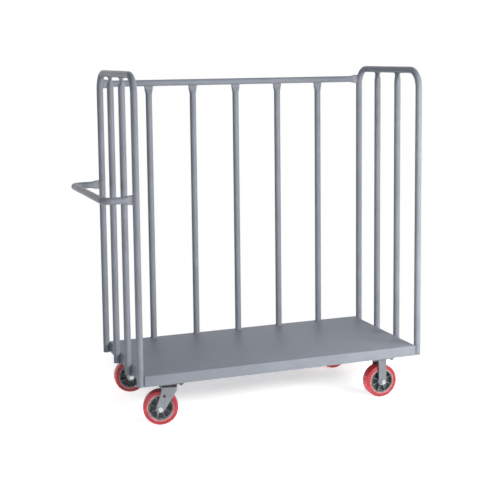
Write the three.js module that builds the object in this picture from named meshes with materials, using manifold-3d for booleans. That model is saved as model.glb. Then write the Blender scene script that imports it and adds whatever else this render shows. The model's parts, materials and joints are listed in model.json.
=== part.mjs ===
// A welded steel stock cart: a folded deck, three tubular sides and four casters.
// Millimetres, +Z up, X along the deck with the push handle at -X, open front at -Y.
import * as THREE from "three";
import { mergeVertices } from "three/addons/utils/BufferGeometryUtils.js";
import Module from "manifold-3d";

const wasm = await Module();
wasm.setup();

// Deck
const deck_length = 1300;
const deck_depth = 640;
const deck_flange_depth = 46;
const deck_gauge = 2.7;
const deck_fold_radius = 4;
const deck_fold_steps = 3;

// Tubular sides
const overall_height = 1524;
const tube_diameter = 30;
const tube_wall = 2;
const tube_sides = 12;
const hoop_bend_radius = 80;
const hoop_bend_steps = 5;
const end_bar_count = 2;
const back_bar_count = 5;
const rail_drop = 50;
const back_inset = 5;

// Pinched tube ends, which are pressed thinner to meet another tube
const pinch_length = 42;
const pinch_flat = 8;
const pinch_slit = 6.6;
const pinch_steps = 3;

// Push handle
const handle_height = 992;
const handle_reach = 138;
const handle_bend_radius = 40;
const handle_bend_steps = 4;

// Channels under the deck
const channel_gauge = 3.4;
const channel_foot = 22;
const channel_margin = 6;
const stiffener_width = 60;
const stiffener_drop = 28;

// Casters, shared by the swivel and the rigid ones
const caster_height = 190.5;
const caster_inset = 60;
const swivel_setback = 124;
const rigid_setback = 157;
const plate_length = 114.3;
const plate_width = 101.6;
const plate_gauge = 6.35;
const plate_corner_radius = 10;
const corner_steps = 3;
const bolt_spacing_x = 92.1;
const bolt_spacing_y = 66.7;
const leg_depth = 8;
const leg_chamfer = 5.5;
const leg_end_steps = 7;
const side_play = 0.6;

// Swivel head
const caster_lead = 38;
const front_turn_degrees = -15;
const rear_turn_degrees = -6;
const race_height = 10.5;
const race_radius = 33;
const race_chamfer = 3;
const crown_gauge = 6;
const crown_half_length = 34;
const crown_corner_radius = 12;
const shoulder_drop = 12;
const boss_radius = 20;
const leg_hole_radius = 6;
const leg_hole_rise = 56;
const leg_hole_shift = 17;
const kingpin_radius = 7;
const kingpin_head_radius = 12;
const kingpin_head_height = 3;
const kingpin_nut_flats = 20;
const kingpin_nut_height = 9;

// Rigid bracket
const rigid_leg_width = 40;

// Wheel
const wheel_radius = 76.2;
const wheel_width = 50.8;
const wheel_sides = 20;
const tread_thickness = 21;
const tread_shoulder = 7;
const tread_lip = 1.8;
const core_width = 47;
const core_rim = 6;
const core_web = 7;
const hub_length = 58;
const hub_radius = 21;
const rib_count = 8;
const rib_thickness = 4;
const rib_depth = 38;
const rib_phase_share = 0.5;
const bearing_radius = 15;
const axle_radius = 6.35;
const axle_head_flats = 19;
const axle_head_height = 7.5;
const axle_nut_height = 8;

// Caster bolts
const bolt_radius = 4.76;
const bolt_head_flats = 14.3;
const bolt_head_height = 6;
const bolt_nut_height = 8;
const bolt_tail = 2;

// Clearances, and how far a cutting solid runs past what it cuts
const weld_gap = 0.3;
const bolt_clearance = 0.4;
const running_gap = 0.3;
const overrun = 5;

// Facets of the small round pieces
const pin_sides = 12;
const bolt_sides = 8;
const ring_sides = 20;
const hex_sides = 6;

// Places that several pieces share
const tube_radius = tube_diameter / 2;
const deck_height = caster_height + deck_flange_depth;
const half_length = deck_length / 2;
const half_depth = deck_depth / 2;
const end_x = half_length + weld_gap + tube_radius;
const leg_y = half_depth - tube_radius;
const hoop_z = overall_height - tube_radius;
const rail_z = hoop_z - rail_drop;
const back_y = leg_y - back_inset;
const swivel_x = swivel_setback - half_length;
const rigid_x = half_length - rigid_setback;
const caster_y = half_depth - caster_inset;
const leg_inner_y = (hub_length + side_play) / 2;
const leg_outer_y = leg_inner_y + leg_depth;
const axle_z = wheel_radius - caster_height;
const crown_top = -plate_gauge - running_gap - race_height;
const crown_bottom = crown_top - crown_gauge;
const core_radius = wheel_radius - tread_thickness - weld_gap;

const X = new THREE.Vector3(1, 0, 0);
const Y = new THREE.Vector3(0, 1, 0);
const Z = new THREE.Vector3(0, 0, 1);

// Finishes
const painted = { color: 0x7d838f, roughness: 0.42, metalness: 0.35 };
const zinc = { color: 0xb3b9bd, roughness: 0.34, metalness: 0.85 };
const urethane = { color: 0xc4262d, roughness: 0.38, metalness: 0 };
const moulded = { color: 0x39403f, roughness: 0.55, metalness: 0 };
const polished = { color: 0xd8dcde, roughness: 0.22, metalness: 0.95 };

const cart = new THREE.Group();

function place(parent, name, geometry, finish) {
  const mesh = new THREE.Mesh(geometry, new THREE.MeshStandardMaterial(finish));
  mesh.name = name;
  parent.add(mesh);
  return mesh;
}

// Solids for joining and cutting, from closed geometries and back
function solidOf(geometry) {
  const bare = geometry.index ? geometry.toNonIndexed() : geometry.clone();
  bare.deleteAttribute("normal");
  bare.deleteAttribute("uv");
  const merged = mergeVertices(bare);
  const vertProperties = merged.getAttribute("position").array;
  const triVerts = new Uint32Array(merged.index.array);
  return new wasm.Manifold(new wasm.Mesh({ numProp: 3, vertProperties, triVerts }));
}

function geometryOf(solid) {
  const mesh = solid.getMesh();
  const geometry = new THREE.BufferGeometry();
  geometry.setAttribute("position", new THREE.BufferAttribute(mesh.vertProperties, 3));
  geometry.setIndex(new THREE.BufferAttribute(mesh.triVerts, 1));
  const flat = geometry.toNonIndexed();
  flat.computeVertexNormals();
  return flat;
}

function join(geometries) {
  const solids = geometries.map(solidOf);
  return geometryOf(solids.reduce((whole, piece) => whole.add(piece)));
}

function cut(geometry, tools) {
  const solids = tools.map(solidOf);
  return geometryOf(solids.reduce((left, tool) => left.subtract(tool), solidOf(geometry)));
}

// The corner radius that puts the flats of a regular polygon at a given radius
function cornerRadius(radius, sides) {
  return radius / Math.cos(Math.PI / sides);
}

// A round or hexagonal bar along Y, with a flat facing down
function barAlongY(radius, length, sides) {
  const corner = cornerRadius(radius, sides);
  const bar = new THREE.CylinderGeometry(corner, corner, length, sides);
  return bar.rotateY(Math.PI / sides);
}

function barAlongZ(radius, length, sides) {
  return barAlongY(radius, length, sides).rotateX(Math.PI / 2);
}

// A closed ring about Y, from a counter-clockwise profile of [radius, height] pairs
function ringAlongY(profile, sides) {
  const closed = [...profile, profile[0]];
  const points = closed.map(([radius, y]) => new THREE.Vector2(cornerRadius(radius, sides), y));
  return new THREE.LatheGeometry(points, sides, Math.PI / sides);
}

function boxAt(width, depth, height, x, y, z) {
  return new THREE.BoxGeometry(width, depth, height).translate(x, y, z);
}

function arc(centre_x, centre_y, radius, from, to, steps) {
  return Array.from({ length: steps + 1 }, (unused, i) => {
    const angle = from + ((to - from) * i) / steps;
    const x = centre_x + radius * Math.cos(angle);
    const y = centre_y + radius * Math.sin(angle);
    return new THREE.Vector2(x, y);
  });
}

function roundedRectangle(length, width, radius, steps) {
  const x = length / 2 - radius;
  const y = width / 2 - radius;
  const quarter = Math.PI / 2;
  const corners = [[x, y, 0], [-x, y, 1], [-x, -y, 2], [x, -y, 3]];
  return corners.flatMap(([cx, cy, turn]) =>
    arc(cx, cy, radius, turn * quarter, (turn + 1) * quarter, steps),
  );
}

// A flat outline in X and Z, thickened along Y about y = 0
function extrudeAlongY(outline, thickness) {
  const shape = new THREE.Shape(outline);
  const solid = new THREE.ExtrudeGeometry(shape, { depth: thickness, bevelEnabled: false });
  return solid.translate(0, 0, -thickness / 2).rotateX(Math.PI / 2);
}

// A tube's route: stations, each with its place and heading, and the plane's normal
class Route extends THREE.Curve {
  constructor(stations, normal) {
    super();
    this.stations = stations;
    this.normal = normal;
  }

  getPointAt(share) {
    return this.stations[Math.round(share * (this.stations.length - 1))].place.clone();
  }

  computeFrenetFrames() {
    const tangents = this.stations.map((station) => station.heading);
    const normals = tangents.map(() => this.normal.clone());
    const binormals = tangents.map((tangent) => tangent.clone().cross(this.normal));
    return { tangents, normals, binormals };
  }
}

// Distances from a tube's tip at which a pinched end needs a ring
function pinchDistances() {
  const rings = [0];
  for (let i = 0; i <= pinch_steps; i += 1) {
    rings.push(pinch_flat + ((pinch_length - pinch_flat) * i) / pinch_steps);
  }
  return rings;
}

function straightStations(from, to, distances) {
  const heading = to.clone().sub(from).normalize();
  return distances.map((distance) => ({
    place: from.clone().addScaledVector(heading, distance),
    heading,
  }));
}

function bendStations(before, corner, after, radius, steps) {
  const arriving = corner.clone().sub(before).normalize();
  const leaving = after.clone().sub(corner).normalize();
  const start = corner.clone().addScaledVector(arriving, -radius);
  return Array.from({ length: steps + 1 }, (unused, i) => {
    const angle = (Math.PI / 2) * (i / steps);
    const place = start.clone();
    place.addScaledVector(arriving, radius * Math.sin(angle));
    place.addScaledVector(leaving, radius * (1 - Math.cos(angle)));
    const heading = arriving.clone().multiplyScalar(Math.cos(angle));
    heading.addScaledVector(leaving, Math.sin(angle));
    return { place, heading };
  });
}

// Flattens a tube's end: the section keeps its girth while it spreads along "wide"
function pinch(geometry, tip, inward, wide) {
  const position = geometry.getAttribute("position");
  const thin = inward.clone().cross(wide);
  const point = new THREE.Vector3();
  for (let i = 0; i < position.count; i += 1) {
    point.fromBufferAttribute(position, i).sub(tip);
    const along = point.dot(inward);
    const across = point.dot(wide);
    const through = point.dot(thin);
    const reach = Math.hypot(across, through);
    if (along > pinch_length || reach > tube_diameter) continue;
    const inset = reach < tube_radius ? tube_wall : 0;
    const share = THREE.MathUtils.smoothstep(along, pinch_flat, pinch_length);
    const half = THREE.MathUtils.lerp(tube_wall + pinch_slit / 2, tube_radius, share);
    const spread = ((tube_radius - half) * Math.PI) / 2;
    const round = (half - inset) / (tube_radius - inset);
    point.copy(tip).addScaledVector(inward, along);
    point.addScaledVector(wide, Math.sign(across) * spread + across * round);
    point.addScaledVector(thin, through * round);
    position.setXYZ(i, point.x, point.y, point.z);
  }
}

function tubeAlong(stations, normal) {
  const offset = Math.PI / tube_sides;
  const outer = cornerRadius(tube_radius, tube_sides);
  const inner = cornerRadius(tube_radius - tube_wall, tube_sides);
  const last_angle = 2 * Math.PI - offset;
  const shape = new THREE.Shape(arc(0, 0, outer, offset, last_angle, tube_sides - 1));
  shape.holes.push(new THREE.Path(arc(0, 0, inner, offset, last_angle, tube_sides - 1)));
  const settings = { steps: stations.length - 1, extrudePath: new Route(stations, normal) };
  return new THREE.ExtrudeGeometry(shape, settings);
}

// A straight tube that stands up, round at its foot and pinched at its top
function uprightBar(foot, top, wide) {
  const length = top.z - foot.z;
  const distances = [...pinchDistances(), length];
  const stations = straightStations(top, foot, distances);
  const geometry = tubeAlong(stations, X);
  pinch(geometry, top, Z.clone().negate(), wide);
  return geometry;
}

// A folded pan's outer or inner form, open downwards
function panForm(length, depth, top, bottom, radius) {
  const profile = (width) => [
    ...arc(width / 2 - radius, top - radius, radius, 0, Math.PI / 2, deck_fold_steps),
    ...arc(radius - width / 2, top - radius, radius, Math.PI / 2, Math.PI, deck_fold_steps),
    new THREE.Vector2(-width / 2, bottom),
    new THREE.Vector2(width / 2, bottom),
  ];
  const lengthways = extrudeAlongY(profile(length), depth);
  const crossways = extrudeAlongY(profile(depth), length).rotateZ(Math.PI / 2);
  return solidOf(lengthways).intersect(solidOf(crossways));
}

function deckPan() {
  const outer = panForm(deck_length, deck_depth, deck_height, caster_height, deck_fold_radius);
  const inner = panForm(
    deck_length - 2 * deck_gauge,
    deck_depth - 2 * deck_gauge,
    deck_height - deck_gauge,
    caster_height - overrun,
    deck_fold_radius - deck_gauge,
  );
  return geometryOf(outer.subtract(inner));
}

// A hat channel across the deck: a flat below and two feet against the deck's underside
function hatChannel(flat_width, drop) {
  const half = flat_width / 2;
  const foot = half + channel_foot;
  const top = deck_height - deck_gauge - weld_gap;
  const bottom = top + weld_gap - drop;
  const outline = [
    [-half, bottom],
    [half, bottom],
    [half, top - channel_gauge],
    [foot, top - channel_gauge],
    [foot, top],
    [half - channel_gauge, top],
    [half - channel_gauge, bottom + channel_gauge],
    [channel_gauge - half, bottom + channel_gauge],
    [channel_gauge - half, top],
    [-foot, top],
    [-foot, top - channel_gauge],
    [-half, top - channel_gauge],
  ].map(([x, z]) => new THREE.Vector2(x, z));
  return extrudeAlongY(outline, deck_depth - 2 * deck_fold_radius - 2 * weld_gap);
}

function boltPlaces() {
  const x = bolt_spacing_x / 2;
  const y = bolt_spacing_y / 2;
  return [[-x, -y], [x, -y], [x, y], [-x, y]];
}

function casterChannel(x) {
  const channel = hatChannel(plate_length + 2 * channel_margin, deck_flange_depth - deck_gauge);
  const holes = [-caster_y, caster_y].flatMap((y) =>
    boltPlaces().map(([bolt_x, bolt_y]) => {
      const hole = barAlongZ(bolt_radius + bolt_clearance, channel_gauge + 2 * overrun, bolt_sides);
      return hole.translate(bolt_x, y + bolt_y, caster_height);
    }),
  );
  return cut(channel, holes).translate(x, 0, 0);
}

function addDeck() {
  place(cart, "deck_pan", deckPan(), painted);
  place(cart, "caster_channel_left", casterChannel(swivel_x), painted);
  place(cart, "caster_channel_right", casterChannel(rigid_x), painted);
  const middle = (swivel_x + rigid_x) / 2;
  const stiffener = hatChannel(stiffener_width, stiffener_drop).translate(middle, 0, 0);
  place(cart, "deck_stiffener", stiffener, painted);
}

// An upturned U of tube, its two legs outside the deck's end flange
function endHoop(x) {
  const corners = [
    new THREE.Vector3(x, -leg_y, caster_height),
    new THREE.Vector3(x, -leg_y, hoop_z),
    new THREE.Vector3(x, leg_y, hoop_z),
    new THREE.Vector3(x, leg_y, caster_height),
  ];
  const [front_foot, front_top, rear_top, rear_foot] = corners;
  const stations = [
    { place: front_foot, heading: Z },
    ...bendStations(front_foot, front_top, rear_top, hoop_bend_radius, hoop_bend_steps),
    ...bendStations(front_top, rear_top, rear_foot, hoop_bend_radius, hoop_bend_steps),
    { place: rear_foot, heading: Z.clone().negate() },
  ];
  return tubeAlong(stations, X);
}

function addEndSide(side, x) {
  place(cart, `end_hoop_${side}`, endHoop(x), painted);
  const top = hoop_z - tube_radius - weld_gap;
  for (let i = 1; i <= end_bar_count; i += 1) {
    const y = -leg_y + (2 * leg_y * i) / (end_bar_count + 1);
    const foot_place = new THREE.Vector3(x, y, caster_height);
    const top_place = new THREE.Vector3(x, y, top);
    place(cart, `end_bar_${side}_${i}`, uprightBar(foot_place, top_place, Y), painted);
  }
}

function backRail() {
  const half = end_x - tube_radius - weld_gap;
  const left = new THREE.Vector3(-half, back_y, rail_z);
  const right = new THREE.Vector3(half, back_y, rail_z);
  const near = pinchDistances();
  const far = near.map((distance) => 2 * half - distance).reverse();
  const geometry = tubeAlong(straightStations(left, right, [...near, ...far]), Z);
  pinch(geometry, left, X, Z);
  pinch(geometry, right, X.clone().negate(), Z);
  return geometry;
}

function addBackSide() {
  place(cart, "back_top_rail", backRail(), painted);
  const foot = deck_height + weld_gap;
  const top = rail_z - tube_radius - weld_gap;
  for (let i = 1; i <= back_bar_count; i += 1) {
    const x = -half_length + (deck_length * i) / (back_bar_count + 1);
    const foot_place = new THREE.Vector3(x, back_y, foot);
    const top_place = new THREE.Vector3(x, back_y, top);
    place(cart, `back_bar_${i}`, uprightBar(foot_place, top_place, X), painted);
  }
}

// A U of tube that reaches out from the left hoop, with pinched feet on its two legs
function pushHandle() {
  const foot_x = -end_x - tube_radius - weld_gap;
  const grip_x = -end_x - handle_reach;
  const front_foot = new THREE.Vector3(foot_x, -leg_y, handle_height);
  const front_corner = new THREE.Vector3(grip_x, -leg_y, handle_height);
  const rear_corner = new THREE.Vector3(grip_x, leg_y, handle_height);
  const rear_foot = new THREE.Vector3(foot_x, leg_y, handle_height);
  const radius = handle_bend_radius;
  const steps = handle_bend_steps;
  const rear_leg = straightStations(rear_foot, rear_corner, pinchDistances()).reverse();
  const stations = [
    ...straightStations(front_foot, front_corner, pinchDistances()),
    ...bendStations(front_foot, front_corner, rear_corner, radius, steps),
    ...bendStations(front_corner, rear_corner, rear_foot, radius, steps),
    ...rear_leg.map((station) => ({ place: station.place, heading: X })),
  ];
  const geometry = tubeAlong(stations, Z);
  const outward = X.clone().negate();
  pinch(geometry, front_foot, outward, Z);
  pinch(geometry, rear_foot, outward, Z);
  return geometry;
}

// Caster pieces, in a frame whose origin is the middle of the plate's top face
function topPlate() {
  const outline = roundedRectangle(
    plate_length,
    plate_width,
    plate_corner_radius,
    corner_steps,
  );
  const settings = { depth: plate_gauge, bevelEnabled: false };
  const plate = new THREE.ExtrudeGeometry(new THREE.Shape(outline), settings);
  plate.translate(0, 0, -plate_gauge);
  const holes = boltPlaces().map(([x, y]) =>
    barAlongZ(bolt_radius + bolt_clearance, plate_gauge + 2 * overrun, bolt_sides)
      .translate(x, y, -plate_gauge / 2),
  );
  return cut(plate, holes);
}

function swivelPlate() {
  const hole = barAlongZ(kingpin_radius + running_gap, plate_gauge + 2 * overrun, pin_sides);
  hole.translate(0, 0, -plate_gauge / 2);
  const sink_depth = kingpin_head_height + running_gap;
  const sink = barAlongZ(kingpin_head_radius + running_gap, sink_depth + overrun, ring_sides);
  sink.translate(0, 0, (overrun - sink_depth) / 2);
  return cut(topPlate(), [hole, sink]);
}

// A leg from its outline, on the +Y side of the wheel and chamfered round its outer face
function formedLeg(outline) {
  const settings = {
    depth: leg_depth,
    bevelSize: leg_chamfer,
    bevelOffset: -leg_chamfer,
    bevelThickness: leg_chamfer,
    bevelSegments: 1,
  };
  const blank = new THREE.ExtrudeGeometry(new THREE.Shape(outline), settings);
  blank.rotateX(Math.PI / 2).translate(0, leg_outer_y - leg_chamfer, 0);
  const centre_y = (leg_inner_y + leg_outer_y) / 2;
  const span = 2 * caster_height;
  const keep = boxAt(span, leg_depth, span, 0, centre_y, 0);
  return geometryOf(solidOf(blank).intersect(solidOf(keep)));
}

// The same solid on the other side of y = 0, its triangles turned the right way round again
function mirrored(geometry) {
  const copy = geometry.clone().scale(1, -1, 1);
  const position = copy.getAttribute("position");
  const first = new THREE.Vector3();
  const second = new THREE.Vector3();
  for (let i = 0; i < position.count; i += 3) {
    first.fromBufferAttribute(position, i);
    second.fromBufferAttribute(position, i + 1);
    position.setXYZ(i, second.x, second.y, second.z);
    position.setXYZ(i + 1, first.x, first.y, first.z);
  }
  return copy;
}

function axleHole(x) {
  const length = 2 * leg_outer_y + 2 * overrun;
  return barAlongY(axle_radius + running_gap, length, pin_sides).translate(x, 0, axle_z);
}

// Where a line from a point touches the boss circle, as an angle about the boss
function tangentAngle(x, z, centre_x, centre_z, side) {
  const distance = Math.hypot(x - centre_x, z - centre_z);
  const towards = Math.atan2(z - centre_z, x - centre_x);
  return towards + side * Math.acos(boss_radius / distance);
}

function swivelLegOutline() {
  const half = crown_half_length;
  const shoulder = crown_bottom - shoulder_drop;
  const start = tangentAngle(half, shoulder, -caster_lead, axle_z, -1);
  const end = tangentAngle(-half, shoulder, -caster_lead, axle_z, 1) - 2 * Math.PI;
  return [
    new THREE.Vector2(-half, shoulder),
    new THREE.Vector2(-half, crown_top),
    new THREE.Vector2(half, crown_top),
    new THREE.Vector2(half, shoulder),
    ...arc(-caster_lead, axle_z, boss_radius, start, end, leg_end_steps),
  ].reverse();
}

function rigidLegOutline() {
  const half = rigid_leg_width / 2;
  return [
    new THREE.Vector2(half, -plate_gauge),
    new THREE.Vector2(-half, -plate_gauge),
    ...arc(0, axle_z, half, Math.PI, 2 * Math.PI, leg_end_steps),
  ];
}

function swivelFork() {
  const crown_outline = roundedRectangle(
    2 * crown_half_length,
    2 * leg_outer_y,
    crown_corner_radius,
    corner_steps,
  );
  const settings = { depth: crown_gauge, bevelEnabled: false };
  const crown = new THREE.ExtrudeGeometry(new THREE.Shape(crown_outline), settings);
  crown.translate(0, 0, crown_bottom);
  const leg = formedLeg(swivelLegOutline());
  const pin_hole = barAlongZ(kingpin_radius + running_gap, crown_gauge + 2 * overrun, pin_sides);
  pin_hole.translate(0, 0, (crown_top + crown_bottom) / 2);
  const light_hole = barAlongY(leg_hole_radius, 2 * leg_outer_y + 2 * overrun, pin_sides);
  light_hole.translate(leg_hole_shift - caster_lead, 0, axle_z + leg_hole_rise);
  const whole = join([crown, leg, mirrored(leg)]);
  return cut(whole, [pin_hole, light_hole, axleHole(-caster_lead)]);
}

function rigidBracket() {
  const leg = formedLeg(rigidLegOutline());
  return cut(join([topPlate(), leg, mirrored(leg)]), [axleHole(0)]);
}

// The domed ring over the swivel balls, welded to the crown
function ballRace() {
  const inner = kingpin_radius + 2 * running_gap;
  const profile = [
    [inner, 0],
    [race_radius, 0],
    [race_radius, race_height - race_chamfer],
    [race_radius - race_chamfer, race_height],
    [inner, race_height],
  ];
  return ringAlongY(profile, ring_sides).rotateX(Math.PI / 2).translate(0, 0, crown_top);
}

function kingpin() {
  const nut_top = crown_bottom - running_gap;
  const nut_bottom = nut_top - kingpin_nut_height;
  const head = barAlongZ(kingpin_head_radius, kingpin_head_height, ring_sides);
  head.translate(0, 0, -kingpin_head_height / 2);
  const shank = barAlongZ(kingpin_radius, -nut_bottom, pin_sides);
  shank.translate(0, 0, nut_bottom / 2);
  const nut = barAlongZ(kingpin_nut_flats / 2, kingpin_nut_height, hex_sides);
  nut.translate(0, 0, (nut_top + nut_bottom) / 2);
  return join([head, shank, nut]);
}

// The axle bolt: its head at -Y, its nut at +Y
function axleBolt() {
  const grip = 2 * leg_outer_y;
  const head = barAlongY(axle_head_flats / 2, axle_head_height, hex_sides);
  head.translate(0, -leg_outer_y - axle_head_height / 2, 0);
  const shank = barAlongY(axle_radius, grip + axle_nut_height, pin_sides);
  shank.translate(0, axle_nut_height / 2, 0);
  const nut = barAlongY(axle_head_flats / 2, axle_nut_height, hex_sides);
  nut.translate(0, leg_outer_y + axle_nut_height / 2, 0);
  return join([head, shank, nut]);
}

function wheelBearing() {
  const half = hub_length / 2;
  const bore = axle_radius + running_gap;
  return ringAlongY(
    [[bore, -half], [bearing_radius, -half], [bearing_radius, half], [bore, half]],
    wheel_sides,
  );
}

function wheelCore() {
  const bore = bearing_radius + weld_gap;
  const hub = (hub_length - side_play) / 2;
  const web = core_web / 2;
  const edge = core_width / 2;
  const recess = core_radius - core_rim;
  const half_profile = [
    [core_radius, edge],
    [recess, edge],
    [recess, web],
    [hub_radius, web],
    [hub_radius, hub],
    [bore, hub],
  ];
  const other_half = half_profile.map(([radius, y]) => [radius, -y]).reverse();
  const body = ringAlongY([...half_profile, ...other_half], wheel_sides);
  const rib_from = (bore + hub_radius) / 2;
  const rib_to = recess + core_rim / 2;
  const ribs = Array.from({ length: rib_count }, (unused, i) => {
    const middle = (rib_from + rib_to) / 2;
    const rib = boxAt(rib_to - rib_from, rib_depth, rib_thickness, middle, 0, 0);
    return rib.rotateY((2 * Math.PI * (i + rib_phase_share)) / rib_count);
  });
  return join([body, ...ribs]);
}

function wheelTread() {
  const inner = wheel_radius - tread_thickness;
  const side = wheel_width / 2;
  const lip = side - tread_lip;
  const shoulder = side - tread_shoulder;
  const upper_shoulder = wheel_radius - tread_lip;
  const lower_shoulder = wheel_radius - tread_shoulder;
  return ringAlongY(
    [
      [inner, -lip],
      [lower_shoulder, -side],
      [upper_shoulder, -(side + shoulder) / 2],
      [wheel_radius, -shoulder],
      [wheel_radius, shoulder],
      [upper_shoulder, (side + shoulder) / 2],
      [lower_shoulder, side],
      [inner, lip],
    ],
    wheel_sides,
  );
}

function addWheel(parent, name, x) {
  const hub = new THREE.Group();
  hub.position.set(x, 0, axle_z);
  parent.add(hub);
  place(hub, `${name}_axle`, axleBolt(), polished);
  place(hub, `${name}_bearing`, wheelBearing(), zinc);
  place(hub, `${name}_wheel_core`, wheelCore(), moulded);
  place(hub, `${name}_tread`, wheelTread(), urethane);
}

// A caster bolt up through the plate and the channel, its head inside the channel
function casterBolt() {
  const head_top = channel_gauge + bolt_head_height;
  const nut_bottom = -plate_gauge - bolt_nut_height;
  const tail = nut_bottom - bolt_tail;
  const head = barAlongZ(bolt_head_flats / 2, bolt_head_height, hex_sides);
  head.translate(0, 0, channel_gauge + bolt_head_height / 2);
  const shank = barAlongZ(bolt_radius, channel_gauge - tail, bolt_sides);
  shank.translate(0, 0, (channel_gauge + tail) / 2);
  const nut = barAlongZ(bolt_head_flats / 2, bolt_nut_height, hex_sides);
  nut.translate(0, 0, -plate_gauge - bolt_nut_height / 2);
  return join([head, shank, nut]);
}

function addBolts(mount, name) {
  boltPlaces().forEach(([x, y], i) => {
    const bolt = place(mount, `${name}_bolt_${i + 1}`, casterBolt(), polished);
    bolt.position.set(x, y, 0);
  });
}

function casterMount(x, y) {
  const mount = new THREE.Group();
  mount.position.set(x, y, caster_height);
  cart.add(mount);
  return mount;
}

function addSwivelCaster(name, y, turn_degrees) {
  const mount = casterMount(swivel_x, y);
  place(mount, `${name}_top_plate`, swivelPlate(), zinc);
  place(mount, `${name}_kingpin`, kingpin(), polished);
  addBolts(mount, name);
  const swivel = new THREE.Group();
  swivel.rotation.z = THREE.MathUtils.degToRad(turn_degrees);
  mount.add(swivel);
  place(swivel, `${name}_ball_race`, ballRace(), zinc);
  place(swivel, `${name}_fork`, swivelFork(), zinc);
  addWheel(swivel, name, -caster_lead);
}

function addRigidCaster(name, y) {
  const mount = casterMount(rigid_x, y);
  place(mount, `${name}_bracket`, rigidBracket(), zinc);
  addBolts(mount, name);
  addWheel(mount, name, 0);
}

addDeck();
addEndSide("left", -end_x);
addEndSide("right", end_x);
addBackSide();
place(cart, "push_handle", pushHandle(), painted);
addSwivelCaster("front_left", -caster_y, front_turn_degrees);
addSwivelCaster("rear_left", caster_y, rear_turn_degrees);
addRigidCaster("front_right", -caster_y);
addRigidCaster("rear_right", caster_y);

// The origin is on the floor, under the middle of the whole cart with its handle
cart.position.x = handle_reach / 2;

export default cart;
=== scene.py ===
"""The looks of a welded steel stock cart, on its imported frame. Metres, +Z up."""

import json
from math import acos, atan2, cos, inf, pi, radians, sin, tan

import bmesh
import bpy
from bpy.props import FloatProperty, FloatVectorProperty, IntProperty, PointerProperty
from mathutils import Matrix, Vector


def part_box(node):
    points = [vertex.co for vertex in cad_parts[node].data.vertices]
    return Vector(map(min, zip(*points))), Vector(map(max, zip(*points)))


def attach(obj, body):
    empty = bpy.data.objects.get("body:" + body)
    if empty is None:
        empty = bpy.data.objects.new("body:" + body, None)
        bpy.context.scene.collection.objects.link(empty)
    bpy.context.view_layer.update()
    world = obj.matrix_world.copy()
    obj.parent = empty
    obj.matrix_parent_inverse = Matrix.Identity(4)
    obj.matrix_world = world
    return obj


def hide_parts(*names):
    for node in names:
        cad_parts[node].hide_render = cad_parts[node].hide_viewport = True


bl_info = {
    "name": "Stock Cart",
    "version": (1, 0, 0),
    "blender": (4, 5, 0),
    "location": "View3D > Sidebar > Stock Cart",
    "description": "Dresses the frame of a welded stock cart: tubes, sheet, welds and casters",
    "category": "Add Mesh",
}

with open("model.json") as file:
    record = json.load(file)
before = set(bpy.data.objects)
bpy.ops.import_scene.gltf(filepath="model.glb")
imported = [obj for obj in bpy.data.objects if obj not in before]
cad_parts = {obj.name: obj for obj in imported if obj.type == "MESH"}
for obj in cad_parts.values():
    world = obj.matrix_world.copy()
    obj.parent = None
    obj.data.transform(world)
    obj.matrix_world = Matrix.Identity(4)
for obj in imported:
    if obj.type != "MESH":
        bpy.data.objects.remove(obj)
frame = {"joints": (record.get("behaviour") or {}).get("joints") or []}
spins = {joint["child"]: joint for joint in frame["joints"]}

SWIVELS = ("front_left", "rear_left")
RIGIDS = ("front_right", "rear_right")
CHANNELS = ("caster_channel_left", "caster_channel_right", "deck_stiffener")
BACK_BARS = range(1, 6)
QUARTER_TURN = pi / 2
HALF_TURN = pi
FULL_TURN = 2 * pi
X = Vector((1, 0, 0))
Y = Vector((0, 1, 0))
Z = Vector((0, 0, 1))
STAND_UP = Matrix.Rotation(QUARTER_TURN, 4, "X")
HANG_DOWN = Matrix.Rotation(-QUARTER_TURN, 4, "X")


# Settings that a user would change


def kind(make, **fixed):
    """A maker of one kind of setting, from a description and a default."""
    return lambda description, default: make(description=description, default=default, **fixed)


def named(group):
    """Gives each setting of a group its name, which is its key in words."""
    for key, setting in group.__annotations__.items():
        setting.keywords["name"] = key.replace("_", " ").capitalize()
    return group


size = kind(FloatProperty, unit="LENGTH", precision=5)
share = kind(FloatProperty, min=0, max=1, subtype="FACTOR")
angle = kind(FloatProperty, subtype="ANGLE")
power = kind(FloatProperty, unit="POWER")
number = kind(FloatProperty)
count = kind(IntProperty, min=1)
colour = kind(FloatVectorProperty, size=3, min=0, max=1, subtype="COLOR")


@named
class CartTubes(bpy.types.PropertyGroup):
    diameter: size("Outside diameter of every tube", 0.030)
    wall: size("Thickness of a tube's wall", 0.002)
    hoop_bend: size("Radius of the hoops' bends at the tube's middle", 0.080)
    handle_bend: size("Radius of the handle's bends at the tube's middle", 0.040)
    pinch_length: size("Length of tube that narrows towards a pressed end", 0.042)
    pinch_flat: size("Length of tube that is pressed fully", 0.008)
    pinch_slit: size("Slit left inside a pressed end", 0.0066)
    crease: size("Depth of the dent below a pressed end", 0.0013)
    facets: count("Facets round a tube", 40)
    bend_rings: count("Rings in a bend", 14)
    pinch_rings: count("Rings in a pinched length", 12)


@named
class CartSheet(bpy.types.PropertyGroup):
    gauge: size("Thickness of the deck's sheet", 0.0027)
    fold: size("Outside radius of the deck's folds", 0.004)
    channel_gauge: size("Thickness of the channels' sheet", 0.0034)
    channel_bend: size("Radius of the channels' bends at mid-thickness", 0.0045)
    channel_foot: size("Width of a channel's foot", 0.022)
    fold_rings: count("Facets across a fold", 6)
    bend_rings: count("Facets across a channel's bend", 5)


@named
class CartWelds(bpy.types.PropertyGroup):
    bead: size("Radius of a weld bead", 0.0026)
    ripple: size("Distance between a bead's ripples", 0.0024)
    stitch: size("Length of a stitch weld under the deck", 0.030)
    stitches: count("Stitch welds along each foot of a channel", 4)


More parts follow.
